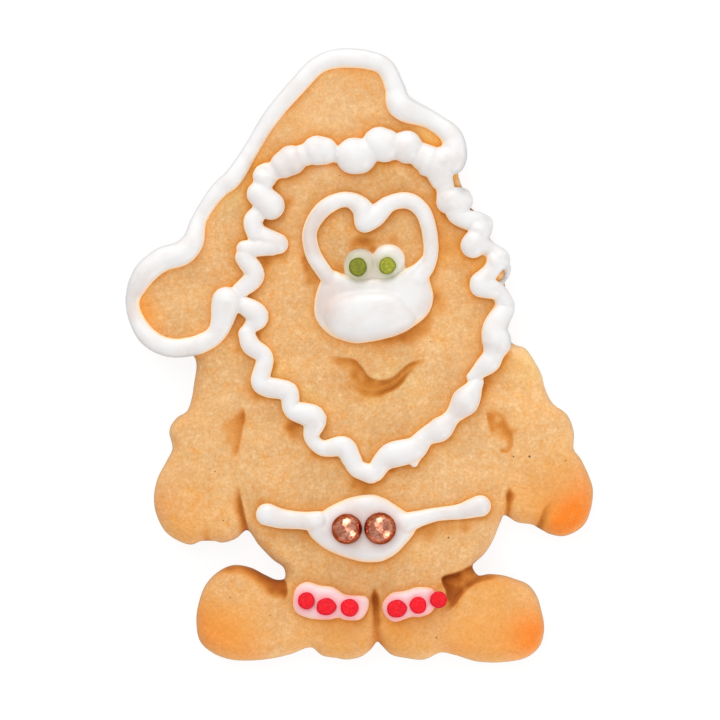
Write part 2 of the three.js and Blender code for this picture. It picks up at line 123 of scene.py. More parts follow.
CREASES = [
    [(-6.4, -0.4, 0.05, 0.4, 1.2, 0.15), (-3.8, -0.7, 0.35, 0.4, 2, 0.45), (-1.3, -1.1, 0.5, 0.4, 2.8, 0.5),
     (0.4, -2.9, 0.85, 0.4, 3.4, 0.55), (1.6, -4.5, 1, 0.4, 3.4, 0.55), (3.4, -5.2, 1, 0.4, 3.2, 0.5),
     (5.5, -5.1, 0.9, 0.4, 2.9, 0.45), (7.1, -4.3, 0.8, 0.4, 2.4, 0.45), (8.7, -2.8, 0.7, 0.4, 2, 0.55),
     (10.5, -1.6, 0.5, 0.4, 1.6, 0.6), (13.2, -1, 0.05, 0.4, 1, 0.2)],
    [(-1.8, -6.2, 0.05, 1.2, 0.8, 0.15), (0.6, -7.3, 0.3, 1.8, 1, 0.32), (2.8, -8, 0.45, 2.2, 1, 0.42),
     (4.6, -7.5, 0.7, 2, 0.7, 0.55), (6.7, -6.8, 0.9, 2, 0.5, 0.6), (8.2, -5.6, 0.9, 1.8, 0.5, 0.6),
     (9.4, -4, 0.7, 1.5, 0.5, 0.5), (11, -2.4, 0.1, 1, 0.4, 0.3)],
    [(-23.4, -11.1, 0.1, 0.5, 1.4, 0.35), (-23.4, -12.1, 0.5, 0.6, 2.4, 0.55),
     (-23.5, -13.8, 0.5, 0.5, 4.4, 0.52), (-23.8, -15.6, 0.45, 0.4, 4.4, 0.46),
     (-24.3, -17.8, 0.35, 0.4, 3.2, 0.38), (-24.8, -19.6, 0.25, 0.5, 2, 0.34),
     (-25.8, -21.2, 0.05, 0.5, 1.2, 0.15)],
    [(25.4, -11.1, 0.05, 1.6, 0.4, 0.2), (25.6, -12.2, 0.35, 2.6, 0.4, 0.5),
     (25.9, -13.6, 0.25, 2.4, 0.5, 0.4), (26.6, -15.6, 0.1, 1.4, 0.5, 0.15)],
    [(27, -11.5, 0.1, 0.8, 1.2, 0.3), (28.2, -12.7, 0.45, 0.9, 2, 0.42), (28.6, -14, 0.5, 1.4, 2.6, 0.52),
     (29.4, -15.2, 0.5, 1.2, 2.8, 0.5), (30.2, -16.9, 0.45, 0.7, 2, 0.45),
     (30.2, -18.2, 0.4, 0.7, 1.6, 0.42), (29.5, -19.3, 0.35, 0.6, 1.2, 0.42),
     (28.4, -19.2, 0.3, 0.7, 0.9, 0.5)],
    [(-24.3, -26.6, 0.1, 0.4, 0.7, 0.2), (-23.9, -29, 0.8, 0.35, 1.4, 0.55),
     (-23.3, -32, 1.4, 0.4, 1.7, 0.6), (-22.2, -36.6, 2, 0.5, 1.9, 0.7)],
    [(29.8, -26.6, 0.1, 0.9, 0.5, 0.3), (29.7, -28.2, 0.9, 1.3, 0.8, 0.75),
     (29.7, -29.8, 0.8, 1.1, 0.8, 0.62), (29.1, -33.4, 1.1, 1, 0.9, 0.45)],
    [(35.5, -35, 0.9, 0.8, 1.4, 0.7), (36.4, -32.5, 0.6, 0.6, 1.8, 0.6), (37.3, -30.5, 0.4, 0.5, 2, 0.4),
     (39.4, -28.8, 0.05, 0.4, 1.6, 0.1)],
    [(-30.7, -38.6, 0.9, 1.3, 1.3, 0.5), (-30.6, -36, 0.4, 1.1, 1.1, 0.3),
     (-30.5, -34.6, 0.05, 0.7, 0.7, 0.1)],
    [(2.9, -47.2, 0.1, 0.5, 0.5, 0.6), (3, -48.6, 1.2, 1.1, 1.2, 0.85), (3.2, -50.4, 1.5, 1.2, 1.2, 0.65),
     (3.2, -54, 1.2, 1.2, 1.2, 0.45), (3.6, -59, 2.2, 1.9, 1.9, 0.45)],
    [(-28.6, -43.2, 0.1, 0.4, 1.4, 0.25), (-24.5, -42.3, 0.5, 0.4, 1.8, 0.5),
     (-20.9, -43.1, 0.9, 0.5, 2.4, 0.8), (-18.2, -44.6, 1.5, 0.5, 2.9, 0.9),
     (-16.4, -44.9, 1.7, 0.4, 3, 0.95), (-15.2, -45.2, 1.6, 0.3, 2.8, 0.95),
     (-14.8, -46.3, 1.4, 0.3, 2.4, 0.9), (-14.7, -47.6, 1, 0.3, 2, 0.7), (-15, -48.9, 0.1, 0.3, 1, 0.3)],
    [(24.8, -41.6, 1, 2.2, 0.3, 0.5), (22.3, -42.3, 1.5, 2.8, 0.3, 0.75),
     (19.4, -43.6, 1.8, 3.6, 0.25, 0.9), (16.5, -44.6, 1.8, 3.6, 0.25, 1), (16.6, -45.4, 1.7, 3.4, 0.3, 1),
     (17.4, -47.2, 1.4, 2.4, 0.35, 0.9), (17.8, -49.8, 0.1, 1, 0.4, 0.3)],
    [(27.6, -44.4, 0.1, 0.6, 0.8, 0.25), (25.6, -44.7, 0.4, 0.6, 1.2, 0.45),
     (22.8, -45.5, 0.7, 0.6, 2.4, 0.7), (20.8, -47.1, 1, 0.7, 2.6, 0.8), (19.5, -48.4, 0.9, 0.7, 2.4, 0.9),
     (18.6, -49.7, 0.4, 0.6, 1.4, 0.65), (17.7, -50.8, 0.05, 0.4, 0.8, 0.2)],
    [(-1.8, 23, 0.05, 1.2, 1.2, 0.2), (0.6, 22.9, 0.25, 1.5, 1.5, 0.6), (2.6, 22.6, 0.15, 1.5, 1.5, 0.45),
     (4.6, 22.7, 0.05, 1, 1, 0.15)],
]
CREASE_ROWS = (-0.62, -0.34, -0.12, 0.12, 0.34, 0.62)  # rows of points beside each crease
CREASE_SPACING = 0.32  # between the points of a row
CREASE_MARGIN = 0.2  # least distance between those points, and from the edge
CREASE_DETAIL = 0.3  # between the stations at which a crease's values are known
CREASE_SHARPNESS = 1.6
CREASE_SHADE_SPREAD = 1.33  # how much wider than a crease its painted shade is

# ------------------------------------------------------------------ icing: beads of x, y, half width

HAT_EDGE = [
    (-26.7, 10.6, 2.95), (-28.6, 4.5, 1.85), (-32, 2.2, 1.85), (-38.2, 1.5, 1.8), (-42.72, 4, 1.75),
    (-45.42, 10.2, 1.4), (-43.32, 15.9, 2.2), (-39.6, 19.1, 2.35), (-35.6, 20.4, 2.4), (-33.5, 22.6, 2.15),
    (-32.1, 27.2, 1.5), (-28.2, 33, 1.6), (-25.6, 35.2, 1.8), (-21.8, 41, 1.5), (-17.9, 47.4, 1.6),
    (-12.8, 53.5, 1.7), (-8, 58.2, 1.75), (-3, 59.4, 1.9), (4.6, 57.9, 1.8), (6.9, 53.6, 1.9),
    (8.1, 49.9, 2.55), (14.3, 46.9, 1.85), (18.4, 43.5, 2.15), (18.7, 39.5, 2.65), (18.4, 38.7, 2.6),
]
BRIM = [
    [(-19, 35.7, 2.4), (-18.6, 36.6, 1.8)],
    [(-15.3, 38, 2.6), (-13.8, 38.9, 2.95)],
    [(-8.6, 40.9, 2.9), (-7.2, 40.8, 2.7)],
    [(-1.2, 39.8, 3.6), (-0.2, 39.8, 3.5)],
    [(3.9, 42.2, 3.35), (4.9, 41.9, 3.3)],
    [(9.3, 41.6, 3.2), (9.4, 41.5, 3.15)],
    [(12.8, 39.2, 2.5), (13.4, 38.9, 3.1)],
    [(16.7, 38.8, 2.9), (16.6, 35.9, 1.9), (17.2, 32.3, 1.75)],
    [(-17.6, 36.5, 1.8), (-13.8, 39, 2.05), (-7.3, 40.7, 2.15), (-3.1, 39.8, 1.4), (3.6, 41.4, 2.6),
     (9.6, 41, 2.2), (14.9, 38, 2.8), (16.1, 35, 2)],
]
BEARD = [
    [(-19.5, 36.4, 1.6), (-19.7, 32.9, 2.1), (-20, 32.5, 2.3)],
    [(-20.2, 32.2, 2.4), (-17.9, 29.9, 2.8)],
    [(-18.8, 30, 1.4), (-21.4, 26.7, 1.85), (-20.7, 24.2, 1.85)],
    [(-21.1, 24.7, 1.6), (-18.4, 23.3, 1.9), (-16.4, 22.2, 2)],
    [(-17.6, 21.9, 1.95), (-23.1, 21.2, 1.6)],
    [(-23.2, 19.5, 1.75), (-21.1, 15.9, 1.95), (-24.5, 12.4, 1.5)],
    [(-24.8, 10.9, 1.5), (-20.4, 7.7, 2.15), (-22, 5.5, 1.35)],
    [(-22.7, 4.2, 1.6), (-21.8, 1.9, 1.85), (-19.1, -0.4, 1.65), (-19.8, -5.7, 1.9), (-16.3, -6.8, 1.95),
     (-14.2, -7.3, 1.8), (-13.6, -10.9, 1.75), (-10.7, -11.9, 2.25), (-9, -12.7, 2.3), (-9.7, -16.5, 1.45),
     (-7.6, -18.6, 1.5), (-3.2, -18.4, 2.05), (-1.7, -20.8, 1.9), (-0.6, -22.7, 1.7), (2.2, -23.8, 1.85)],
    [(3.1, -23.6, 1.65), (4.5, -21.4, 2), (6.3, -20.1, 2.5), (10.8, -18.8, 2.35), (13.1, -16.4, 1.8),
     (16.1, -14.8, 2.35), (18.4, -12.4, 1.6), (21.1, -9.2, 2.7), (23.5, -5.5, 1.2)],
    [(22.4, -4.5, 1.05), (26.1, -1.2, 2.1), (27.2, 0.1, 1.55)],
    [(26.8, 0.5, 2.1), (27.3, 2.4, 2.9), (27, 5.2, 2.5), (29, 9.3, 1.95)],
    [(29.1, 10, 1.85), (27.8, 12.4, 1.65), (24.3, 13.9, 2.35)],
    [(24.3, 14.4, 2.3), (26.4, 17.2, 1.6), (27.6, 19.1, 2.45)],
    [(28.2, 14.3, 0.5), (29.1, 15.7, 0.6), (29.4, 17, 0.8), (28, 18.8, 2.1), (25.8, 21.2, 1.6),
     (23.2, 22.4, 2.65)],
    [(22.6, 21.9, 2.45), (23.5, 23.3, 1.9), (24.1, 25.3, 2.4), (24.6, 26.1, 2.1)],
    [(25, 26.5, 1.5), (23.6, 26.8, 1.85), (21.5, 27, 1.9), (19.2, 28.6, 2.1), (19.9, 30.9, 2.65)],
    [(17.6, 30.6, 2.3), (19.8, 31.2, 2.35)],
    [(18.6, 30.4, 2.45), (17.5, 31.6, 2.35), (17, 32.8, 1.65)],
    [(11.1, -19.2, 1.85), (10.8, -21.6, 0.8)],
]
FACE_RING = [
    [(-6.1, 14.1, 1.2), (-6.3, 15.2, 1.45), (-9.5, 20.5, 1.5), (-9.9, 25.2, 1.4), (-6.8, 29.6, 1.6),
     (-2.5, 31.1, 1.5), (0.6, 29.1, 2.1), (1, 26.6, 2.1)],
    [(1.4, 26.9, 2.2), (3, 27.8, 2.1), (6.2, 30.4, 1.55), (9.8, 30.8, 1.6), (12.6, 28.6, 1.55),
     (14.2, 21.9, 1.45), (13.6, 18.1, 1.45), (11.4, 15.1, 1.7)],
]
BELT_ENDS = [
    [(-18.6, -31.9, 2.15), (-15.8, -32.7, 1.9), (-11.7, -33.1, 1.7), (-8.2, -33.3, 2)],
    [(8.8, -33.8, 2.15), (12, -32.7, 1.55), (15.8, -31.8, 1.3), (19.6, -31.4, 1.45), (24, -30.2, 2.1)],
]

# ------------------------------------------------------------------ icing: mounds

MOUND_SPACING = 0.5  # between the points along a mound's outline
MOUSTACHE_PAD = [
    (-7.8, 14.7), (-8.7, 12.2), (-9.1, 9.6), (-8.9, 7.6), (-7.5, 5.4), (-4.8, 3.4), (-0.6, 2.7), (4.2, 3.4),
    (8.8, 4.9), (11.3, 6.2), (13.9, 8.9), (14.6, 11.9), (14.1, 14.1), (13.3, 17.3), (12.9, 19.9),
    (11.7, 18.6), (9.4, 17.3), (6.2, 15.9), (2.7, 15.6), (-0.6, 15.4), (-3.2, 16.1), (-6.1, 16.8),
]
MOUSTACHE_DROP = [
    (-7.7, 8.9), (-7.3, 6.3), (-5.3, 3.9), (-1.3, 2.5), (4.9, 3.3), (9.3, 4.9), (11.6, 7.1), (9.9, 10),
    (8.2, 12), (5.6, 12.9), (1.5, 13), (-3, 12.5), (-6.1, 11.3),
]
EYE_WHITES = [(0.1, 17.9, 3.3), (5.75, 18.8, 3.3)]
EYE_POOL = [
    (-2.9, 17.4), (-2.8, 15.7), (-0.5, 14.7), (3, 14.8), (6.5, 15), (8.9, 16.3), (8.9, 18), (5.6, 18.6),
    (0, 18),
]
BUCKLE = [
    (11.3, -33.8), (8.6, -38.3), (5.3, -40.8), (1.9, -41.4), (-3.9, -40.1), (-8.2, -37.8), (-10.5, -34.8),
    (-8.4, -32.1), (-4.8, -29.8), (-1.1, -28.4), (3.2, -28.1), (7.4, -30.3),
]
CUFF_LEFT = [
    (1.5, -48.6), (1.5, -50.75), (0.1, -52.75), (-3.3, -52.85), (-4.2, -52.45), (-6.5, -52.85),
    (-10.6, -52.45), (-12.9, -51.25), (-13.3, -48.8), (-12.6, -46.5), (-10.7, -45.5), (-7.9, -46.2),
    (-5.5, -46.5), (-4, -47.4), (-3, -48),
]
CUFF_RIGHT = [
    (4.5, -50.1), (6, -47.9), (7.8, -47.4), (9.3, -47.2), (11.5, -46.5), (14.8, -47.1), (15.3, -49.1),
    (14.4, -51.2), (12.1, -52.3), (10.3, -52.3), (6.7, -53.3), (5, -52),
]

# ------------------------------------------------------------------ sugar decorations

PEARLS = ("pearl_left", "pearl_right")
EYE_DOTS = ("eye_dot_left", "eye_dot_right")
CUFF_DOTS = tuple(f"cuff_dot_{number}" for number in range(1, 7))
# confetti that isn't quite round: its width and height against the frame's round
OVAL = {"cuff_dot_2": (1.1, 0.92), "cuff_dot_4": (1.1, 0.96), "eye_dot_left": (1.0, 1.04)}
# confetti that is darker or paler than the rest
TONE = {"eye_dot_left": 0.68, "cuff_dot_3": 1.08, "cuff_dot_5": 1.08}


# ------------------------------------------------------------------ lines and fields

def smooth_line(knots, spacing, closed=False):
    """Evenly spaced points on the centripetal Catmull-Rom curve through some knots.

    Between two knots it is the cubic that leaves each one along the slope of the parabola through
    it and its neighbours, with time between knots as the square root of their distance.
    """
    knots = np.asarray(knots, float)
    if closed:
        padded = np.vstack([knots[-1], knots, knots[:2]])
    else:
        padded = np.vstack([2 * knots[0] - knots[1], knots, 2 * knots[-1] - knots[-2]])
    before, here, there, after = (padded[i:len(padded) - 3 + i, None, :] for i in range(4))
    time = [np.sqrt(np.linalg.norm(b - a, axis=2, keepdims=True)) + 1e-9
            for a, b in ((before, here), (here, there), (there, after))]
    slope_here = ((here - before) / time[0] - (there - before) / (time[0] + time[1])
                  + (there - here) / time[1]) * time[1]
    slope_there = ((there - here) / time[1] - (after - here) / (time[1] + time[2])
                   + (after - there) / time[2]) * time[1]
    u = np.linspace(0, 1, CURVE_STEPS, endpoint=False)[None, :, None]
    curve = (here * (2 * u**3 - 3 * u**2 + 1) + slope_here * (u**3 - 2 * u**2 + u)
             + there * (3 * u**2 - 2 * u**3) + slope_there * (u**3 - u**2))
    curve = np.vstack([curve.reshape(-1, knots.shape[1]), there[-1, 0]])
    run = np.concatenate([[0], np.cumsum(np.linalg.norm(np.diff(curve[:, :2], axis=0), axis=1))])
    count = max(2, round(run[-1] / spacing))
    stations = np.linspace(0, run[-1], count + 1)[:count if closed else count + 1]
    return np.stack([np.interp(stations, run, column) for column in curve.T], axis=1)


def directions(line, closed=False):
    """Unit direction of travel at each point of a line."""
    along = np.gradient(line[:, :2], axis=0)
    if closed:
        along = np.roll(line, -1, axis=0) - np.roll(line, 1, axis=0)
    return along / np.maximum(np.linalg.norm(along, axis=1, keepdims=True), 1e-9)


def left_of(along):
    """Some directions, each turned a quarter to the left."""
    return np.stack([-along[:, 1], along[:, 0]], 1)


def grown(line, margin):
    """A closed line that runs anticlockwise, moved outwards by a margin."""
    return line - margin * left_of(directions(line, closed=True))


def beside(line, places, margin):
    """Which places lie within a margin of the rectangle round a line."""
    low, high = line[:, :2].min(0) - margin, line[:, :2].max(0) + margin
    return ((places > low) & (places < high)).all(1)


def nearest_on(line, places, closed=False, chunk=1500):
    """For each place: distance to the line, which side it is on (left is above zero), and the
    line's own values there, blended along the nearest stretch."""
    start = line if closed else line[:-1]
    end = np.roll(line, -1, axis=0) if closed else line[1:]
    stretch = end[:, :2] - start[:, :2]
    squared = np.maximum((stretch**2).sum(1), 1e-12)
    distance = np.empty(len(places))
    side = np.empty(len(places))
    values = np.empty((len(places), line.shape[1]))
    for first in range(0, len(places), chunk):
        part = places[first:first + chunk]
        dx = part[:, None, 0] - start[None, :, 0]
        dy = part[:, None, 1] - start[None, :, 1]
        share = np.clip((dx * stretch[:, 0] + dy * stretch[:, 1]) / squared, 0, 1)
        gap = (dx - share * stretch[:, 0])**2 + (dy - share * stretch[:, 1])**2
        best = gap.argmin(1)
        rows = np.arange(len(part))
        chosen = share[rows, best][:, None]
        distance[first:first + chunk] = np.sqrt(gap[rows, best])
        side[first:first + chunk] = np.sign(
            stretch[best, 0] * dy[rows, best] - stretch[best, 1] * dx[rows, best])
        values[first:first + chunk] = start[best] * (1 - chosen) + end[best] * chosen
    return distance, side, values


def ripples(places, wavelength, seed, waves=28, shortest=0.75, longest=1.35):
    """Smooth random relief of unit strength: plane waves of about one length in all directions."""
    random = np.random.default_rng(seed)
    turn = random.uniform(0, math.tau, waves)
    number = math.tau / (wavelength * random.uniform(shortest, longest, waves))
    pace = np.stack([np.cos(turn), np.sin(turn)], 1) * number[:, None]
    return np.cos(places[:, :2] @ pace.T + random.uniform(0, math.tau, waves)).sum(1) * math.sqrt(2 / waves)


def ease(share):
    """0 below 0, 1 above 1, and a smooth step between."""
    share = np.clip(share, 0, 1)
    return share * share * (3 - 2 * share)


def inside(outline, places):
    """Whether each place lies inside a closed outline: its ray to +X crosses it an odd number of times."""
    crossings = np.zeros(len(places), int)
    for (x0, y0), (x1, y1) in zip(outline, np.roll(outline, -1, axis=0)):
        if y0 == y1:
            continue
        spans = (places[:, 1] >= min(y0, y1)) & (places[:, 1] < max(y0, y1))
        crossings += spans & (x0 + (places[:, 1] - y0) * (x1 - x0) / (y1 - y0) > places[:, 0])
    return crossings % 2 == 1


def spread(outline, spacing, margin):
    """Points of an even triangular pattern inside an outline, at least a margin away from it."""
    low, high = outline.min(0), outline.max(0)
    rise = spacing * math.sqrt(3) / 2
    rows = np.arange(low[1], high[1], rise)
    columns = np.arange(low[0], high[0], spacing)
    x = columns[None, :] + (np.arange(len(rows)) % 2)[:, None] * spacing / 2
    pattern = np.stack([x, np.broadcast_to(rows[:, None], x.shape)], 2).reshape(-1, 2)
    pattern = pattern[inside(outline[::COARSE], pattern)]
    distance = nearest_on(outline[::COARSE], pattern, closed=True)[0]
    return pattern[distance > margin]


# ------------------------------------------------------------------ the crust's edge and height

CRUST_LINE = grown(smooth_line(OUTLINE, OUTLINE_SPACING, closed=True), OUTLINE_MARGIN)
COARSE_LINE = CRUST_LINE[::COARSE]
SHEET_MIDDLE = (CRUST_LINE.min(0) + CRUST_LINE.max(0)) / 2
FRAME_MIDDLE = [sum(axis) / 2 / MM for axis in zip(*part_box("biscuit"))][:2]
SHIFT = np.array([*(FRAME_MIDDLE - SHEET_MIDDLE), 0.0])


def crust_top(distance, rounding):
    """Height of the crust over its table at a distance from its edge: a quarter ellipse, then flat."""
    share = np.clip(1 - distance / rounding, 0, 1)
    return EDGE_HEIGHT + (CRUST_HEIGHT - EDGE_HEIGHT) * np.sqrt(1 - share**2)


def crust_under(places):
    """Height of the crust's plain upper surface under some places, also for those beyond its edge."""
    distance, side, _ = nearest_on(COARSE_LINE, places[:, :2], closed=True)
    return crust_top(np.where(side > 0, distance, 0), scene_settings().crust.rounding / MM)


def scene_settings():
    """What the panel's sizes and colours stand at."""
    return bpy.context.scene.father_christmas


# ------------------------------------------------------------------ meshes

def into_scene(name, data):
    """A new object with some data, linked into the scene."""
    made = bpy.data.objects.new(name, data)
    bpy.context.scene.collection.objects.link(made)
    return made


def make_object(name, vertices, faces):
    """A smooth mesh object from points in sheet millimetres, moved onto the frame in metres."""
    mesh = bpy.data.meshes.new(name)
    mesh.from_pydata(((vertices + SHIFT) * MM).tolist(), [], faces)
    mesh.polygons.foreach_set("use_smooth", np.ones(len(mesh.polygons), bool))
    mesh.update()
    return into_scene(name, mesh)


def paint_mask(piece, name, values):
    """Keeps one number for each point of a piece, for its material to read."""
    attribute = piece.data.attributes.new(name, "FLOAT", "POINT")
    attribute.data.foreach_set("value", np.asarray(values, np.float32))


def settle(piece, slot, material, *nodes):
    """The piece takes its finish, rides on the figure and stands for its CAD nodes."""
    piece.data.materials.append(material)
    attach(piece, "root")
    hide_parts(*nodes)


def ring_faces(first, second, count):
    """Quads between two closed rings of points, given where each ring starts."""
    here = np.arange(count)
    there = (here + 1) % count
    return np.stack([first + here, first + there, second + there, second + here], 1).tolist()


def tube_faces(rings, count):
    """Quads along a stack of closed rings, and one flat face at either end."""
    faces = [face for ring in range(rings - 1)
             for face in ring_faces(ring * count, (ring + 1) * count, count)]
    last = (rings - 1) * count
    return faces + [list(range(count))[::-1], list(range(last, last + count))]


def bead(knots, lift=0.3, spacing=0.5, sides=22, end_steps=6, end_share=0.96):
    """A piped bead along a smooth line, as rings of an oval section.

    At angle a a ring stands half width times cos a across the line and the rise's share of that
    times sin a above it. Beyond each end the rings close in as cos e while they run on by sin e
    half widths, with e growing to nearly a quarter turn.
    """
    icing = scene_settings().icing
    line = smooth_line(knots, spacing)
    place, half = line[:, :2], line[:, 2]
    along = directions(line)
    close = np.linspace(0, math.pi / 2 * end_share, end_steps + 1)[1:]
    run = np.concatenate([-np.sin(close[::-1]), np.zeros(len(line)), np.sin(close)])
    scale = np.concatenate([np.cos(close[::-1]), np.ones(len(line)), np.cos(close)])
    own = np.concatenate([np.zeros(end_steps, int), np.arange(len(line)),
                          np.full(end_steps, len(line) - 1)])
    middle = place[own] + along[own] * (run * half[own])[:, None]
    across = left_of(along)[own]
    height = crust_under(middle) + lift + icing.sit * half[own]
    turn = np.linspace(0, math.tau, sides, endpoint=False)
    wide = (half[own] * scale)[:, None] * np.cos(turn)
    high = icing.rise * (half[own] * scale)[:, None] * np.sin(turn)
    rings = np.concatenate([middle[:, None, :] - across[:, None, :] * wide[:, :, None],
                            (height[:, None] + high)[:, :, None]], axis=2)
    return rings.reshape(-1, 3), tube_faces(len(rings), sides)


def mound(outline, height, flatness, middle=None, lean=(0, 0), steps=14, first=0.04, sink=0.6):
    """A heap of icing over an outline, as rings that shrink towards its middle.

    At angle a the ring lies sin a to the power 2 / flatness of the way out, at cos a of the height,
    and the top leans by so many millimetres for each one along X and Y. Under the crust the last
    ring goes straight down.
    """
    edge = smooth_line(outline, MOUND_SPACING, closed=True)
    middle = edge.mean(0) if middle is None else np.array(middle, float)
    turn = np.linspace(first, math.pi / 2, steps)
    out = np.append(np.sin(turn) ** (2 / flatness), 1.0)
    up = np.append(np.cos(turn) * height, -sink)
    places = middle + (edge - middle)[None, :, :] * out[:, None, None]
    tilt = ((places - middle) * np.array(lean)).sum(2) * np.clip(up / height, 0, 1)[:, None]
    rings = np.concatenate([places, (CRUST_HEIGHT + up[:, None] + tilt)[:, :, None]], axis=2)
    return rings.reshape(-1, 3), tube_faces(len(rings), len(edge))


def point_values(mesh, name):
    """One of a mesh's own vectors, such as its normals, for each point."""
    values = np.empty(len(mesh.vertices) * 3)
    mesh.vertices.foreach_get(name, values)
    return values.reshape(-1, 3)


def fuse(name, shapes, melt=1, uneven=0.012, length=3.2, seed=5):
    """Closed shapes that touch, made one skin: points on an even mesh of small cubes, smoothed melt
    times as much as usual, swollen a little and made faintly uneven."""
    icing = scene_settings().icing
    vertices, faces, start = [], [], 0
    for points, around in shapes:
        vertices.append(points)
        faces += [[start + corner for corner in face] for face in around]
        start += len(points)
    raw = bpy.data.meshes.new(name)
    raw.from_pydata(np.vstack(vertices).tolist(), [], faces)
    piece = into_scene(name, raw)
    remesh = piece.modifiers.new("skin", "REMESH")
    remesh.mode = "VOXEL"
    remesh.voxel_size = icing.fineness / MM
    smooth = piece.modifiers.new("flow", "SMOOTH")
    smooth.factor = 0.5
    smooth.iterations = melt * icing.flow
    skin = bpy.data.meshes.new_from_object(
        piece.evaluated_get(bpy.context.evaluated_depsgraph_get()))
    points = point_values(skin, "co")
    swell = icing.swell / MM + uneven * ripples(points, length, seed)
    points += point_values(skin, "normal") * swell[:, None]
    skin.vertices.foreach_set("co", ((points + SHIFT) * MM).ravel())
    skin.polygons.foreach_set("use_smooth", np.ones(len(skin.polygons), bool))
    skin.update()
    piece.modifiers.clear()
    piece.data = skin
    bpy.data.meshes.remove(raw)
    skin.name = name
    return piece


# ------------------------------------------------------------------ shader maths

class Wire:
    """An output of a material's nodes. Arithmetic on it adds Math nodes; node() adds any other."""

    def __init__(self, tree, socket=None):
        self.tree = tree
        self.socket = socket

    def node(self, kind, output, settings=None, inputs=None):
        """Adds a node: first its settings, then the values or links of its sockets."""
        made = self.tree.nodes.new(kind)
        for name, value in (settings or {}).items():
            setattr(made, name, value)
        for name, value in (inputs or {}).items():
            if isinstance(value, Wire):
                self.tree.links.new(value.socket, made.inputs[name])
            else:
                made.inputs[name].default_value = value
        return Wire(self.tree, made.outputs[output])

    def maths(self, operation, *values):
        return self.node("ShaderNodeMath", 0, {"operation": operation}, dict(enumerate(values)))

    def __add__(self, other):
        return self.maths("ADD", self, other)

    def __radd__(self, other):
        return self.maths("ADD", other, self)

    def __sub__(self, other):
        return self.maths("SUBTRACT", self, other)

    def __mul__(self, other):
        return self.maths("MULTIPLY", self, other)

    def __rmul__(self, other):
        return self.maths("MULTIPLY", other, self)

    def between(self, low, high):
        """0 below low, 1 above high, and a smooth step between."""
        return self.node("ShaderNodeMapRange", 0, {"interpolation_type": "SMOOTHSTEP"},
                         {"Value": self, "From Min": low, "From Max": high})

    def blend(self, first, second):
        """The first colour where this value is 0, the second where it is 1."""
        return self.node("ShaderNodeMix", 2, {"data_type": "RGBA"}, {0: self, 6: first, 7: second})

    def noise(self, size, detail=3, roughness=0.55):
        """Cloudy noise on these coordinates, with spots of a size in millimetres."""
        return self.node("ShaderNodeTexNoise", "Fac", None,
                         {"Vector": self, "Scale": 1 / (size * MM), "Detail": detail,
                          "Roughness": roughness})

    def mask(self, name):
        """A number that the piece keeps for each of its points."""
        return self.node("ShaderNodeAttribute", "Fac", {"attribute_name": name})

    def times(self, factors):
        """This colour with its red, green and blue multiplied by three factors."""
        return self.node("ShaderNodeVectorMath", "Vector", {"operation": "MULTIPLY"},
                         {0: self, 1: factors})

    def shaded(self, shade):
        """This colour made darker or lighter by one number."""
        return self.node("ShaderNodeVectorMath", "Vector", {"operation": "SCALE"},
                         {0: self, "Scale": shade})

    def bump(self, height, distance):
        """A normal bent by a height that runs from 0 to 1 over a distance in millimetres."""
        return self.node("ShaderNodeBump", "Normal", None,
                         {"Height": height, "Strength": 1.0, "Distance": distance * MM})


def finish_of(name, constants):
    """A new material, its coordinates on the object and a way to feed its shader."""
    material = bpy.data.materials.new(name)
    material.use_nodes = True
    tree = material.node_tree
    shader = tree.nodes["Principled BSDF"]
    for socket, value in constants.items():
        shader.inputs[socket].default_value = value
    place = Wire(tree).node("ShaderNodeTexCoord", "Object")

    def feed(socket, wire):
        tree.links.new(wire.socket, shader.inputs[socket])

    return material, place, feed


def opaque(colour):
    return (*colour, 1.0)


# size in millimetres, detail and roughness of the crust's noises
CLOUDS, MOTTLE, SAND, GRAIN = (7, 4, 0.6), (1.6, 3, 0.6), (0.62, 2, 0.6), (0.26, 2, 0.65)
# of the mottling and of the sand: where its paler spots start and are whole, and their strength, and
# the same of its honey-coloured ones
SPOTS = [((0.5, 0.78), 0.62, (0.52, 0.24), 0.58), ((0.5, 0.8), 0.4, (0.5, 0.2), 0.55)]
FLAT = (1, 1, 0)  # what keeps a place's X and Y
SPECK_CORE = 0.5  # share of a speck that is wholly dark
SPECK_STRENGTH = 0.85


def speckled(colour, place):
    """The crust's colour with its burnt specks: dark round spots, worked out in plan."""
    flat = place.times(FLAT)
    for x, y, size in SPECKS:
        middle = ((x + SHIFT[0]) * MM, (y + SHIFT[1]) * MM, 0)
        away = flat.node("ShaderNodeVectorMath", "Value", {"operation": "DISTANCE"},
                         {0: flat, 1: middle})
        spot = away.between(size * MM, SPECK_CORE * size * MM) * SPECK_STRENGTH
        colour = spot.blend(colour, opaque(scene_settings().crust.speck))
    return colour


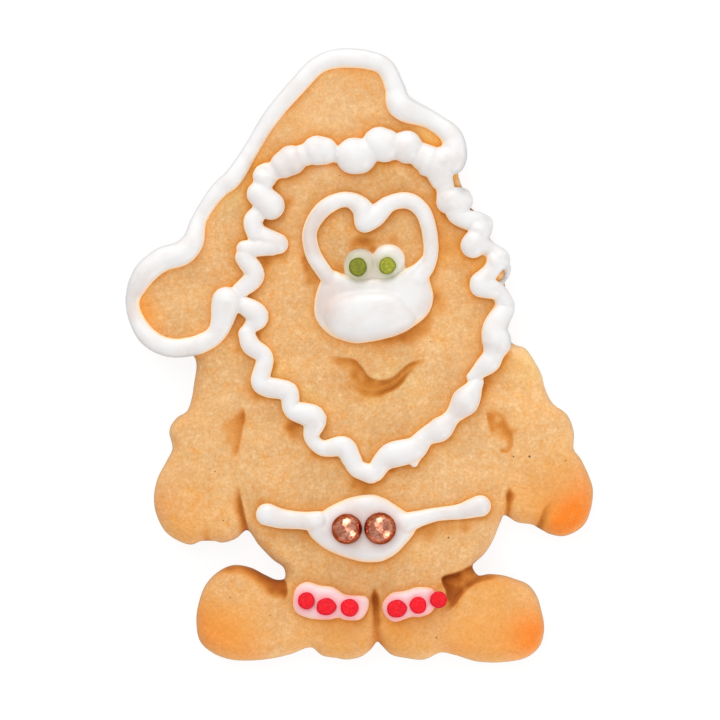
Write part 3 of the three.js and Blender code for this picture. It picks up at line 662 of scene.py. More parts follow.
def crust_finish():
    """Sandy golden dough: cloudy tan and gold, orange where it is browned, with painted shade in its
    creases and round the icing, and painted light and shade on its edges.

    Each mask is made uneven by one of the noises, and the finest ones shade and roughen the whole.
    """
    crust = scene_settings().crust
    material, place, feed = finish_of("baked_crust", {"Roughness": 0.8, "Specular IOR Level": 0.15})
    clouds, mottle, sand, grain = (place.noise(*kind) for kind in (CLOUDS, MOTTLE, SAND, GRAIN))
    pale, honey = opaque(crust.pale), opaque(crust.honey)
    colour = clouds.between(0.34, 0.68).blend(opaque(crust.tan), opaque(crust.gold))
    for noise, (paler, much, darker, little) in zip((mottle, sand), SPOTS):
        colour = (noise.between(*paler) * much).blend(colour, pale)
        colour = (noise.between(*darker) * little).blend(colour, honey)
    # flour, with painted light on shaded places and on edges turned from the main light
    colour = (place.mask("flour_and_light") * (0.5 + mottle)).blend(colour, pale)
    # the dough's honey colour, with painted warm shade round the icing and on edges turned to the main
    # light
    colour = (place.mask("honey_and_shade") * (0.7 + 0.5 * clouds)).blend(colour, honey)
    colour = (place.mask("browned") * (0.55 + 0.9 * mottle)).blend(colour, opaque(crust.browned))
    # painted shade in the creases and in the lee of the icing, in honey and a deeper brown
    crease_and_lee_shade = place.mask("crease_and_lee_shade") * (0.8 + 0.4 * mottle)
    colour = (crease_and_lee_shade * 1.6).between(0, 1).blend(colour, honey)
    colour = crease_and_lee_shade.between(0.05, 1).blend(colour, opaque(crust.deep))
    yellower = colour.times(tuple(crust.yellowing))
    colour = (place.mask("golden") * (0.5 + clouds)).blend(colour, yellower)
    colour = speckled(colour, place)
    # the dough's tone, with the painted light and shade that the tone mask carries, and its grain
    feed("Base Color", colour.shaded(place.mask("tone") * (0.672 + 0.36 * grain + 0.26 * sand)))
    feed("Normal", place.bump(0.5 * grain + 0.3 * sand + 0.2 * mottle, crust.grain / MM))
    return material


def icing_finish():
    """Satin sugar icing: creamy along its foot, partly with painted warm light, with painted shade on
    its outer sides and on the eye whites, dyed where a confetti has bled into it, and with a painted
    halo of shade and copper reflection round the pearls.

    It is made once, for all the icing.
    """
    if "piped_icing" in bpy.data.materials:
        return bpy.data.materials["piped_icing"]
    icing = scene_settings().icing
    material, place, feed = finish_of("piped_icing", {
        "Specular IOR Level": 0.35, "Subsurface Weight": 0.12,
        "Subsurface Radius": (1.0, 0.75, 0.6), "Subsurface Scale": 0.0012})
    clouds = place.noise(4, 3, 0.5)
    # greyer, pinker places of the icing, some at random and some given as patches
    thin = clouds.between(0.3, 0.75) * 0.4 + place.mask("thin")
    colour = thin.between(0, 1).blend(opaque(icing.white), opaque(icing.veil))
    # the cream is partly painted warm light, the shade and eye shade are painted shade, the copper halo is
    # painted shade and reflection, and pink and lime are dye
    for mask, shade_and_stain in (("foot", icing.cream), ("outer", icing.shade), ("eye_shade", icing.eye_shade),
                          ("red_stain", icing.pink), ("copper_halo", icing.copper_halo_colour),
                          ("green_stain", icing.lime)):
        colour = place.mask(mask).blend(colour, opaque(shade_and_stain))
    feed("Base Color", colour)
    feed("Roughness", 0.36 + 0.16 * place.noise(2.5, 3, 0.5))
    feed("Normal", place.bump(place.noise(1.1, 3, 0.45), 0.035))
    return material


def copper_finish():
    """Crumpled copper lustre: metal with darker and rosier patches, dark towards its rim."""
    pearls = scene_settings().pearls
    material, place, feed = finish_of("copper_lustre", {
        "Metallic": 1.0, "Specular Tint": opaque(pearls.rim)})
    tint = (0.7 * place.noise(1.4, 3, 0.6) + 0.3 * place.noise(0.45, 2, 0.6)).between(0.4, 0.62)
    feed("Base Color", tint.blend(opaque(pearls.dark), opaque(pearls.bright)))
    feed("Roughness", 0.12 + 0.16 * place.noise(0.7, 3, 0.6))
    feed("Normal", place.bump(place.noise(1.0, 3, 0.55), 0.07))
    return material


def confetti_finish(name, colour, rim):
    """Matt pressed sugar: finely speckled, darker at the rim."""
    material, place, feed = finish_of(name, {"Roughness": 0.62, "Specular IOR Level": 0.12})
    crystals = place.node("ShaderNodeTexVoronoi", "Distance", None,
                          {"Vector": place, "Scale": 1 / (0.5 * MM), "Randomness": 1.0})
    speckle = place.noise(0.5, 4, 0.7)
    faded = tuple(0.84 * part + 0.16 for part in colour)
    shown = (speckle.between(0.52, 0.68) * 0.22).blend(opaque(colour), opaque(faded))
    shown = (speckle.between(0.52, 0.38) * 0.45).blend(shown, opaque(rim))
    shown = (crystals.between(0.3, 0.75) * 0.35).blend(shown, opaque(rim))
    shown = place.mask("rim").blend(shown, opaque(rim))
    feed("Base Color", shown.shaded(place.mask("tone")))
    feed("Normal", place.bump(speckle - 0.6 * crystals, 0.09))
    return material


# ------------------------------------------------------------------ the crust

# What the oven, the flour and the lie of the dough left on the crust, with painted light and shade
# in the honey, flour, tone and crease patches: x, y, radius and strength, from the hat down to the
# feet. A strength below zero takes away.
BROWNED = [
    (-43.5, 9, 3, 0.35), (-42, 4.5, 3, 0.35), (46, -24.5, 2.6, 0.2), (-40.5, -30, 3.4, 0.25),
    (44.5, -30, 4.6, 0.75), (40.5, -34, 4.2, 0.85), (-32.5, -51, 2.5, 0.25), (37, -52, 3, 0.1),
    (-30.5, -56.5, 5, 0.4), (34.5, -56.5, 5, 0.93), (36.7, -56.8, 1.2, -0.3), (19, -60, 4, 0.2),
    (-22, -60.5, 4, 0.25),
]
# the dough's honey colour, with painted warm shade near the icing, taken back where it fell too dark
HONEY_AND_SHADE_PATCHES = [
    (0, 56, 5, 0.25), (-12, 50, 4, 0.2), (15, 44.5, 3, 0.1), (9, 38, 1.5, -0.5), (-7.6, 37.8, 1.6, -0.6),
    (-15.6, 35, 1, -0.4), (19.6, 34.2, 1.2, -0.6), (14, 34, 1.5, -0.4), (4.8, 26, 0.9, -0.4),
    (20.6, 24.8, 1, -0.4), (18.5, 21.5, 3, 0.3), (24.4, 19.6, 0.9, -0.4), (22, 18, 4, 0.2),
    (28, 15.8, 1, -0.8), (-19, 12, 2, -0.15), (17, 10.8, 1.5, 0.35), (-43, 9, 3, 0.5),
    (32.2, 1.5, 1.2, -0.4), (30.3, 1.2, 1, -0.5), (25, -2, 5, 0.25), (36, -5, 8, 0.12), (43, -22, 5, 0.3),
    (37, -29, 8, 0.65), (-34, -30, 6, 0.4), (38, -33, 4, 0.2), (-36, -36, 4, 0.4), (-30, -36, 4, 0.3),
    (-21, -41, 4, 0.3), (-6, -44, 3, 0.15), (27, -46, 4, 0.3), (-22, -52, 6, 0.35), (24, -52, 8, 0.45),
    (34, -53, 6, 0.5), (-30, -54, 6, 0.7), (-5, -57, 6, 0.6), (7, -57, 6, 0.7), (-13.1, -57.3, 3, 0.3),
    (-24, -58, 5, 0.5), (20, -58, 6, 0.4), (28, -59, 5, 0.4),
]
GOLDEN = [
    (13, 44, 3.5, 0.6), (3.5, 38.3, 2.5, 0.4), (-22, 37, 3, 0.7), (19.3, 35.5, 2, 0.5), (-26, 32, 3.5, 0.5),
    (25, 19, 2, 0.5), (-43, 7.5, 3, 0.5), (35, -2, 4, 0.5), (-17.5, -3.7, 3, 0.4), (8.5, -4.5, 3, 0.35),
    (1.8, -6.6, 3.2, 0.35), (-10.3, -9.3, 3, 0.4), (14, -50, 4, -0.2), (2, -51, 6, -0.2),
]
# flour, with painted light on shaded places
FLOUR_AND_LIGHT_PATCHES = [
    (-8, 48, 9, 0.3), (13.5, 44.1, 3, 0.4), (12, 44, 3, 0.4), (-14.2, 42.4, 0.8, 0.4), (7, 38.3, 1, 0.4),
    (-6, 38, 3, 0.5), (-6.6, 37.8, 0.9, 0.5), (-10.6, 37.2, 2.5, 0.35), (-22.5, 34.7, 3, 0.3),
    (19.6, 34.2, 1.1, 0.5), (19.9, 34.2, 0.8, 0.5), (-22, 30, 7, 0.35), (-14.6, 20.8, 0.8, 0.4),
    (23, 17, 0.9, 0.3), (28, 15.8, 0.9, 0.6), (31.1, 1.5, 2, 0.3), (30.4, 1.2, 1, 0.6), (33, 0, 4, 0.2),
    (33.6, 0, 1, 0.5), (22.5, -2, 3, 0.55), (35, -2.2, 1, 0.5), (36.4, -5, 1, 0.4), (38, -9, 4, 0.1),
    (44.5, -14, 3, 0.2), (45, -19, 4, 0.3), (-41, -24, 4, 0.15), (19, -26, 7, 0.15),
    (9.7, -30.9, 2.5, 0.35), (28, -35.5, 3, 0.45), (33, -47, 4, 0.2), (36, -53, 4, 0.2),
    (36.3, -56.6, 1, 0.2), (-12, -58, 5, 0.1),
]
# the dough's lighter and darker tone, with painted light and shade
TONE_LIGHT_AND_SHADE = [
    (2.7, 55.5, 3, 0.07), (13.5, 44.1, 3, 0.03), (14, 44, 3, 0.08), (8.4, 38.2, 1.7, 0.12),
    (-6, 38, 0.8, 0.1), (-6, 38, 3, 0.05), (-6.6, 37.8, 0.9, 0.12), (0, 36, 9, -0.02), (-15.6, 35, 1, 0.06),
    (19.6, 34.2, 1, 0.1), (-26, 28, 8, -0.04), (4.8, 26, 0.9, 0.06), (-7.2, 25.4, 1.5, -0.05),
    (20.6, 24.8, 1, 0.08), (9, 24, 3.5, -0.05), (3, 23, 8, -0.05), (24.4, 19.6, 0.9, 0.1),
    (-5, 19.3, 1.8, -0.05), (-26.2, 19, 0.9, 0.06), (24.5, 18.3, 2.2, 0.13), (23, 17, 0.9, 0.05),
    (28, 15.6, 1, 0.2), (16, 14, 8, 0.03), (-19.8, 13.6, 0.8, 0.08), (21.6, 12.8, 0.8, 0.08),
    (14.9, 11.1, 1.8, -0.07), (-39.1, 4.1, 2.5, -0.05), (-34.1, 3.9, 3, -0.06), (31.1, 1.5, 2.5, 0.08),
    (32.3, 1.4, 1.1, 0.06), (30.3, 1.2, 0.9, 0.12), (30.3, 1.1, 0.9, 0.05), (-29.3, 1, 2.5, -0.05),
    (30, 0.6, 0.8, 0.08), (33.8, -0.2, 1.2, 0.05), (22.5, -2, 3, 0.03), (-12, -4, 5, -0.03),
    (-4.5, -5, 2.5, -0.05), (36.3, -5, 1.2, 0.04), (3.4, -5.2, 0.8, 0.08), (36, -8, 10, 0.08),
    (5, -12, 5, -0.05), (-22.4, -26, 3.5, -0.09), (18, -26, 8, 0.03), (4, -27, 12, -0.03),
    (8, -30, 0.9, 0.1), (41, -34.5, 4, -0.035), (-14.3, -35.6, 3, -0.09), (-10.2, -38.5, 3, -0.09),
    (-5.9, -43.6, 3, -0.05), (0, -44, 9, -0.06), (-14.8, -46.4, 0.9, 0.1), (18.5, -48, 1, -0.2),
    (-23, -51, 8, 0.03), (24, -52, 9, 0.05), (-31, -54, 6, -0.03),
]
# patches of painted shade round the icing and in the creases, with some browning
CREASE_SHADE_PATCHES = [
    (0, 36, 1.2, -0.25), (12.8, 31.4, 1.3, 0.2), (-14, 30.8, 0.9, 0.25), (-14.8, 30.4, 1.6, 0.2),
    (21.9, 29.2, 0.7, 0.7), (-10.6, 28.4, 1.4, 0.2), (16.8, 27, 1.3, 0.2), (-18.8, 26.4, 1, 0.3),
    (16.3, 24.4, 1.6, 0.22), (6.6, 23.2, 0.9, 0.25), (9, 23, 2.8, 0.1), (3, 22, 1.2, -0.3),
    (7.2, 22, 1.8, 0.2), (-1.4, 21.6, 0.9, 0.2), (-1, 21.4, 1.6, 0.22), (17.4, 21.4, 2.2, 0.3),
    (2.6, 21.2, 0.8, 0.4), (2.6, 20.9, 1.9, 0.25), (24.5, 19.5, 1.2, -0.2), (-11.2, 19.4, 0.9, 0.3),
    (-19.2, 18.7, 1.2, 0.35), (-18, 18.6, 1.2, 0.2), (-10.8, 18.6, 1.3, 0.3), (-4.2, 18, 1.8, 0.22),
    (23, 18, 1.2, -0.15), (-19, 17.6, 0.9, 0.25), (17.4, 17.6, 0.9, 0.25), (-10.8, 17.4, 0.8, 0.3),
    (-3.8, 17, 1.2, 0.25), (-10.4, 16.6, 0.9, 0.2), (-8.6, 15.6, 1.6, 0.2), (28, 15.6, 1, -0.3),
    (-24.6, 15, 1.3, 0.25), (-10.2, 14.8, 1.4, 0.35), (15.3, 12, 1.4, 0.35), (25, 11, 1.2, -0.2),
    (16.4, 9.6, 1.5, 0.25), (-9.3, 8, 1.3, 0.15), (-24, 7, 1.3, 0.15), (13.8, 7, 1.1, 0.2),
    (-34.8, 5.6, 0.8, 0.3), (13.2, 5, 1.5, 0.3), (11.2, 4.6, 1.8, 0.2), (-20.4, 4, 0.7, 0.5),
    (8.6, 3.4, 0.9, 0.3), (6.4, 3.2, 1.8, 0.3), (10, 3.2, 1.8, 0.3), (4.5, 1.4, 2.4, 0.16),
    (30.3, 1.2, 1, -0.5), (-24.4, 1, 0.9, 0.35), (-9.5, 0.8, 1.3, 0.1), (-29, -0.2, 1, 0.2),
    (-32.8, -0.4, 0.7, 0.4), (-0.7, -1, 0.9, 0.2), (-17, -2.2, 1, 0.25), (-4.4, -2.2, 1.5, 0.15),
    (0.8, -2.2, 0.8, 0.2), (2.2, -3.4, 0.9, 0.25), (-7, -3.6, 2, 0.13), (-1, -4, 0.9, 0.3),
    (0, -4, 1.1, -0.22), (26.6, -4, 0.9, -0.25), (4, -4.2, 1.2, 0.1), (7.7, -4.8, 1, 0.12),
    (3.4, -5.2, 0.8, -0.2), (26, -5.2, 1.4, 0.3), (-2.6, -5.6, 2, 0.12), (0, -5.8, 1.5, 0.12),
    (6.2, -5.9, 1.1, 0.15), (24.8, -6.2, 1.2, 0.15), (2, -6.4, 1.5, 0.15), (4.2, -6.4, 1.4, 0.15),
    (-22.6, -6.5, 1.3, 0.25), (-3.2, -6.8, 1.8, 0.17), (0, -7.2, 1.3, 0.12), (24.6, -7.4, 1.3, 0.2),
    (-20.8, -8, 1.5, 0.3), (4.4, -8.2, 1, 0.2), (1, -8.6, 1.1, 0.18), (-0.2, -9.2, 1, 0.25),
    (23.4, -11.4, 0.9, -0.25), (15.8, -11.6, 1, 0.25), (-22.8, -12, 1, 0.2), (29.2, -12, 1, 0.2),
    (28, -12.8, 0.7, -0.3), (27.4, -13.2, 2.4, 0.14), (-22.7, -13.5, 0.7, 0.25), (-26.9, -14.2, 1, 0.15),
    (-14.3, -14.4, 1.2, 0.4), (-12.8, -14.6, 1.6, 0.4), (26.5, -15, 0.9, 0.2), (27.8, -15, 0.6, -0.15),
    (31.1, -15, 0.8, 0.25), (30.8, -15.6, 1, 0.2), (-13.6, -16.2, 1, 0.25), (-26.6, -17, 1, 0.15),
    (-23.3, -17, 0.8, 0.2), (-12, -17, 1.5, 0.2), (-24, -19, 1.1, 0.2), (-9.2, -19.8, 1, 0.3),
    (6.4, -23, 0.8, 0.35), (23.6, -23.4, 1, 0.2), (-20.4, -24, 1.1, 0.2), (-25.4, -24.6, 1.1, 0.2),
    (-0.8, -25, 1.6, 0.22), (-1.4, -26.2, 0.8, 0.3), (1, -26.7, 1.6, 0.4), (-25.5, -27, 1.1, 0.15),
    (31, -28, 1.2, 0.2), (-25.6, -29, 1.1, 0.2), (-20.2, -29.4, 1.5, 0.2), (-19.8, -29.4, 0.8, 0.2),
    (-25.2, -31.2, 1.1, 0.2), (19.6, -33.2, 0.8, -0.3), (20, -33.8, 1.6, 0.2), (-36.5, -34.5, 2.5, 0.12),
    (17.6, -35, 1.2, 0.25), (21.2, -35, 1, 0.3), (14, -35.8, 2.2, 0.32), (-17.4, -36.4, 1, 0.25),
    (-10.8, -36.8, 1.4, 0.2), (-13.6, -40.4, 1, 0.2), (-26, -42.8, 1.3, 0.2), (20.6, -43.4, 0.8, -0.4),
    (0, -44, 3, 0.1), (25.8, -44, 1.2, 0.2), (4.6, -46.2, 1.4, 0.25), (16, -46.2, 0.8, 0.4),
    (22.8, -46.2, 2.2, 0.2), (-14.8, -46.4, 0.8, -0.3), (19, -46.4, 1.8, 0.3), (21, -46.6, 0.9, -0.4),
    (-15.6, -46.8, 1.6, 0.2), (-18, -47.2, 1, 0.25), (-16.7, -47.5, 1.3, 0.5), (18.6, -47.6, 0.8, 0.25),
    (18.3, -48, 1.2, 0.3), (18.5, -48, 0.8, 0.75), (3, -49.6, 1.8, 0.2), (19.4, -49.8, 1, 0.35),
    (17.5, -50, 1.5, 0.25), (4, -53.2, 0.8, 0.3),
]
# how far in from the edge, or away from the icing, each effect fades
WORN_FADE, AWAY_FADE, TOWARDS_FADE, RIM_FADE, EDGE_LINE_FADE = 0.45, 1.2, 3, 1.1, 0.3
NEAR_ICING_FADE, ICING_LINE_FADE = 2.5, 0.4
LEE_SHADOW = 0.42  # how much painted shadow browns the crust in the lee of the icing
# what each mask of the crust is everywhere, its patches, its share of each effect of the edge and the
# icing, and how much of it the worn edge loses
# the honey, crease, flour and tone masks also paint light and shade: warm shade near the icing and in the
# creases, shadow in the icing's lee, and light and shade on edges by the way they face the main light,
# below the hat's edge, round the icing and along the crust's edge
CRUST_MASKS = {
    "browned": (0, BROWNED, {"rim": 1, "underneath": 0.25}, 0.55),
    "honey_and_shade": (0, HONEY_AND_SHADE_PATCHES, {"icing": 0.5, "near_icing": 0.28, "towards": 0.3, "hem": 0.08}, 0.4),
    "flour_and_light": (0, FLOUR_AND_LIGHT_PATCHES, {"away": 0.3, "worn": 0.45}, 0),
    "golden": (0.17, GOLDEN, {}, 0),
    "crease_and_lee_shade": (0, CREASE_SHADE_PATCHES, {"creases": 1}, 0),
    "tone": (1, TONE_LIGHT_AND_SHADE, {"away": 0.14, "towards": -0.07, "hem": 0.17, "shade_round_icing": -0.075, "icing_contact_shadow": -0.07,
                        "edge_shade_line": -0.29}, 0),
}
MASK_LIMITS = {"tone": (0.5, 1.3)}
# x, y and radius of the burnt specks
SPECKS = [
    (33.9, -20.3, 0.34), (30.7, -20.3, 0.22), (41.1, -21.1, 0.17), (-29, -23.3, 0.18), (-27.3, -33.1, 0.17),
    (15.3, -56.5, 0.21), (17.7, -36.5, 0.24), (14.1, 2.7, 0.16), (-26, -48.5, 0.17), (-18, -52.1, 0.15),
    (-4.1, 35.9, 0.14),
]


def creases(places):
    """How deep the creases are, and how much painted shade browns them.

    At a share s of the reach on its side a crease is its depth times (1 - s)^sharpness deep, and
    its painted shade eases off over a reach a third wider.
    """
    depth = np.zeros(len(places))
    shade_and_stain = np.zeros(len(places))
    for knots in CREASES:
        line = smooth_line(knots, CREASE_DETAIL)
        near = beside(line, places, CREASE_SHADE_SPREAD * line[:, 3:5].max())
        distance, side, values = nearest_on(line, places[near])
        reach = np.where(side > 0, values[:, 3], values[:, 4])
        here = values[:, 2] * np.clip(1 - distance / reach, 0, 1) ** CREASE_SHARPNESS
        depth[near] = np.maximum(depth[near], here)
        here = values[:, 5] * (1 - ease(distance / (CREASE_SHADE_SPREAD * reach)))
        shade_and_stain[near] = np.maximum(shade_and_stain[near], here)
    return depth, shade_and_stain


def crease_points():
    """Rows of points along both sides of every crease, none too near another."""
    rows = []
    for knots in CREASES:
        line = smooth_line(knots, CREASE_SPACING)
        rows += [line[:, :2] + offset * left_of(directions(line)) for offset in CREASE_ROWS]
    points = np.vstack(rows)
    _, first = np.unique(np.round(points / CREASE_MARGIN), axis=0, return_index=True)
    points = points[np.sort(first)]
    deep_in = nearest_on(COARSE_LINE, points, closed=True)[0] > CREASE_MARGIN
    return points[deep_in & inside(CRUST_LINE, points)]


def patches(places, spots):
    """Soft round patches of x, y, radius and strength: strength times e to the -(distance / radius)^2."""
    total = np.zeros(len(places))
    for x, y, radius, strength in spots:
        squared = (places[:, 0] - x)**2 + (places[:, 1] - y)**2
        total += strength * np.exp(-squared / radius**2)
    return total


STROKE_SPACING = 0.8
NO_STROKE = 6.0  # this far from a stroke it has no effect
GLOW_FADE, LEE_FADE, DUSK_FADE, HEM_FADE = 0.8, 1.1, 2.5, 0.9


def icing_around(places):
    """The honey and the painted light and shade that the icing gives the crust round it, from the
    distance to each of its strokes.

    Each effect is e to the -distance over its fade. The honey and warm shade is their sum, so it
    gathers in the notches. The lee, where the shadow is painted, is the most of them times how far
    the place lies to the lower right of the stroke, and the shade round the icing the most of them
    times how far it doesn't. The gap is the least distance. The hat's edge only adds honey and warm
    shade, and paints light on the crust on its lower right: the hem.
    """
    honey_and_shade, lee, shade_round_icing, hem = np.zeros((4, len(places)))
    gap = np.full(len(places), np.inf)
    strokes = [(knots, False) for knots in (HAT_EDGE, *BRIM, *BEARD, *FACE_RING, *BELT_ENDS)]
    strokes += [(outline, True) for outline in (MOUSTACHE_PAD, BUCKLE, CUFF_LEFT, CUFF_RIGHT)]
    for knots, closed in strokes:
        line = smooth_line(knots, STROKE_SPACING, closed)
        near = beside(line, places, NO_STROKE)
        distance, _, values = nearest_on(line, places[near], closed=closed)
        facing = ((places[near] - values[:, :2]) @ LEE_SIDE) / np.maximum(distance, 1e-6)
        if closed:
            beyond = np.where(inside(line, places[near]), 0, distance)
        else:
            beyond = np.maximum(distance - values[:, 2], 0)
        honey_and_shade[near] += np.exp(-beyond / GLOW_FADE)
        facing = np.clip(facing, 0, 1)
        if knots is HAT_EDGE:
            hem[near] = np.exp(-beyond / HEM_FADE) * facing
            continue
        lee[near] = np.maximum(lee[near], np.exp(-beyond / LEE_FADE) * facing)
        shade_round_icing[near] = np.maximum(shade_round_icing[near], np.exp(-beyond / DUSK_FADE) * (1 - facing))
        gap[near] = np.minimum(gap[near], beyond)
    return honey_and_shade, lee, shade_round_icing, gap, hem


ONLY_INSIDE = 1  # triangulate inside the boundary only
SAME_POINT = 1e-7  # points nearer than this would be joined


def triangles(boundary, others):
    """Triangles that fill a closed boundary of points, through some other points inside it."""
    points = np.vstack([boundary, others])
    made = delaunay_2d_cdt(points.tolist(), [], [list(range(len(boundary)))], ONLY_INSIDE, SAME_POINT)
    if len(made[0]) != len(points):
        raise RuntimeError("the crust's points didn't keep their order")
    return [list(face) for face in made[2]]


def crust_rounding_points(inward):
    """Rings of points on the rounding, without those that come too near another stretch of edge."""
    rings = np.vstack([CRUST_LINE + inset * inward for inset in TOP_INSETS])
    wanted = np.repeat(TOP_INSETS, len(CRUST_LINE))
    distance, side, _ = nearest_on(CRUST_LINE, rings, closed=True)
    return rings[(side > 0) & (distance > NEAR_ENOUGH * wanted)]


def bake_crust():
    """The crust, as one closed skin.

    Its top is a height over the plane: a quarter ellipse up from the edge, then flat, with swells,
    lumps and creases. Its side goes down as a quarter ellipse and its underside is flat.
    """
    crust = scene_settings().crust
    inward = left_of(directions(CRUST_LINE, closed=True))
    count = len(CRUST_LINE)
    inner = np.vstack([crust_rounding_points(inward), spread(CRUST_LINE, TOP_SPACING, TOP_MARGIN)])
    for knots in CREASES:
        away = nearest_on(smooth_line(knots, spacing=0.5), inner)[0]
        inner = inner[away > CREASE_ROWS[-1] + CREASE_GAP]
    inner = np.vstack([inner, crease_points()])
    top = np.vstack([CRUST_LINE, inner])
    distance, _, nearest = nearest_on(COARSE_LINE, top, closed=True)
    outward = (nearest[:, :2] - top) / np.maximum(distance, AT_EDGE)[:, None]
    distance[:count] = 0
    height = crust_top(distance, crust.rounding / MM)
    raised = (height - EDGE_HEIGHT) / (CRUST_HEIGHT - EDGE_HEIGHT)
    lumps = sum(strength * ripples(top, length, seed) for strength, length, seed in LUMPS)
    depth, shade_and_stain = creases(top)
    height += (lumps * crust.unevenness - depth) * raised
    faces = triangles(CRUST_LINE, inner)

    turn = np.linspace(0, math.pi / 2, UNDER_STEPS + 1)[1:]
    sides = [np.column_stack([CRUST_LINE + BOTTOM_ROUND * (1 - math.cos(t)) * inward,
                              np.full(count, EDGE_HEIGHT * (1 - math.sin(t)))]) for t in turn]
    starts = [0, *(len(top) + step * count for step in range(UNDER_STEPS))]
    for upper, lower in zip(starts, starts[1:]):
        faces += ring_faces(lower, upper, count)
    under = spread(CRUST_LINE, UNDER_SPACING, UNDER_MARGIN)
    flat = triangles(sides[-1][:, :2], under)
    faces += (starts[-1] + np.array(flat)[:, ::-1]).tolist()
    vertices = np.vstack([np.column_stack([top, height]), *sides,
                          np.column_stack([under, np.zeros(len(under))])])
    piece = make_object("crust", vertices, faces)
    paint_crust(piece, vertices, distance, outward @ LEE_SIDE, shade_and_stain)
    return piece


def paint_crust(piece, points, distance, turned, shade_and_stain):
    """The crust's masks, each as CRUST_MASKS says.

    An effect is e to the -distance over its fade: away and towards on the edges turned from and to
    the main light, where the masks paint light and shade, worn where the outermost dough is dry and
    pale, painted shade along the crust's edge and round the icing, and painted light below the hat's
    edge. Points past the end of the three given rows lie on the side and underneath.
    """
    below = np.zeros(len(points) - len(distance))
    is_top = np.append(np.ones(len(distance)), below)
    edge, turned, shade_and_stain = (np.append(row, below) for row in (distance, turned, shade_and_stain))
    honey_and_shade, lee, shade_round_icing, gap, hem = icing_around(points[:, :2])
    worn = is_top * np.exp(-edge / WORN_FADE)
    rim = scene_settings().crust.rim * (0.65 + 0.25 * ripples(points, wavelength=9, seed=8))
    effects = {
        # edges turned from and to the main light, on which the masks paint light and shade
        "away": np.clip(turned, 0, 1) * np.exp(-edge / AWAY_FADE),
        "towards": np.clip(-turned, 0, 1) * np.exp(-edge / TOWARDS_FADE),
        "worn": worn,
        "rim": rim * np.exp(-edge / RIM_FADE),
        # painted shade along the crust's edge
        "edge_shade_line": np.exp(-edge / EDGE_LINE_FADE),
        "underneath": 1 - is_top,
        "icing": is_top * honey_and_shade,
        "near_icing": is_top * np.exp(-gap / NEAR_ICING_FADE),
        # painted contact shadow along the icing
        "icing_contact_shadow": is_top * np.exp(-gap / ICING_LINE_FADE),
        # painted shade round the icing, outside its lee
        "shade_round_icing": is_top * shade_round_icing,
        # painted light on the crust below the hat's edge
        "hem": is_top * hem,
        # painted shade in the creases, and painted shadow in the lee of the icing
        "creases": np.maximum(shade_and_stain, LEE_SHADOW * is_top * lee),
    }
    for name, (everywhere, spots, shares, loss) in CRUST_MASKS.items():
        values = everywhere + patches(points, spots)
        values += sum(share * effects[effect] for effect, share in shares.items())
        least, most = MASK_LIMITS.get(name, (0, 1))
        paint_mask(piece, name, np.clip(values, least, most) * (1 - loss * worn))


# ------------------------------------------------------------------ the icing

# x, y, radius and strength of its greyer, pinker places, of its painted shade on the eye whites, and
# of its outer sides that catch the light, where their painted shade is left off
GREYER_PINKER = [
    (-14, 38, 5, 0.5), (17, 34, 5, 0.2), (-9, 24, 5, 1), (13.5, 22, 5, 0.3), (1.6, 17.4, 3.4, 0.9),
    (-21, 16, 5, 0.3), (-8, 11.5, 4.5, 0.8), (-45, 11, 5, 0.4), (12.5, 9, 3, 0.3), (21, -10, 6, 0.3),
    (-1, -30, 3, 0.3), (21, -30.5, 6, 0.3), (-14, -33, 5, 0.3), (0, -39, 5, 0.1),
]
EYE_SHADE = [
    (-0.4, 20.3, 2.6, 1), (-2.8, 19, 1.6, 0.6), (2.8, 17.4, 1.3, 0.5), (3, 15.8, 1.2, 0.12),
    (-1.8, 15.5, 1.2, 0.12),
]
LIT = [(21.5, 31, 2.6, 0.8), (26, 27, 2.8, 0.8), (29.5, 19, 3.2, 0.8), (30.2, 10, 3.2, 0.8)]


# which decorations bleed into the icing, and which give it a painted halo of shade and copper
# reflection, how strongly, and over how far it fades
BLEED_AND_HALO = {"red_stain": (CUFF_DOTS, 0.88, 1.6), "copper_halo": (PEARLS, 0.65, 0.8),
            "green_stain": (EYE_DOTS, 0.75, 0.9)}
FOOT = 0.1  # height over the crust up to which the icing is wholly creamy
FOOT_REACH = 0.8  # over which that fades
FOOT_AT_HAT = 1.25  # the same at the hat's edge
HAT_NEAR, HAT_FADE = 2.0, 1.5  # half width of the hat's edge, and of its soft border
LOW, LOW_FADE = 1.3, 0.7  # height up to which slopes are wholly creamy, and over which that fades
STEEP, STEEP_FADE = 0.4, 0.45  # upward part of a slope's normal at the most, and its soft border
OUTER_REACH = 1.6  # how far in from the crust's edge the outer side of the icing reaches


def round_decorations(points, nodes, reach):
    """How much the named decorations have bled into each point, or how much of the pearls' painted
    halo it takes: e to the -distance over a reach.
    """
    total = np.zeros(len(points))
    for node in nodes:
        middle, radius = node_disc(node)
        away = np.linalg.norm(points[:, :2] - middle, axis=1) - radius
        total = np.maximum(total, np.exp(-np.maximum(away, 0) / reach))
    return total


def node_box(node):
    """Lowest and highest corner of a CAD node, in sheet millimetres."""
    return (np.array(corner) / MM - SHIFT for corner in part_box(node))


def node_disc(node):
    """Middle and radius, in sheet millimetres, of a CAD node that is round from above."""
    low, high = node_box(node)
    return ((low + high) / 2)[:2], (high[0] - low[0]) / 2


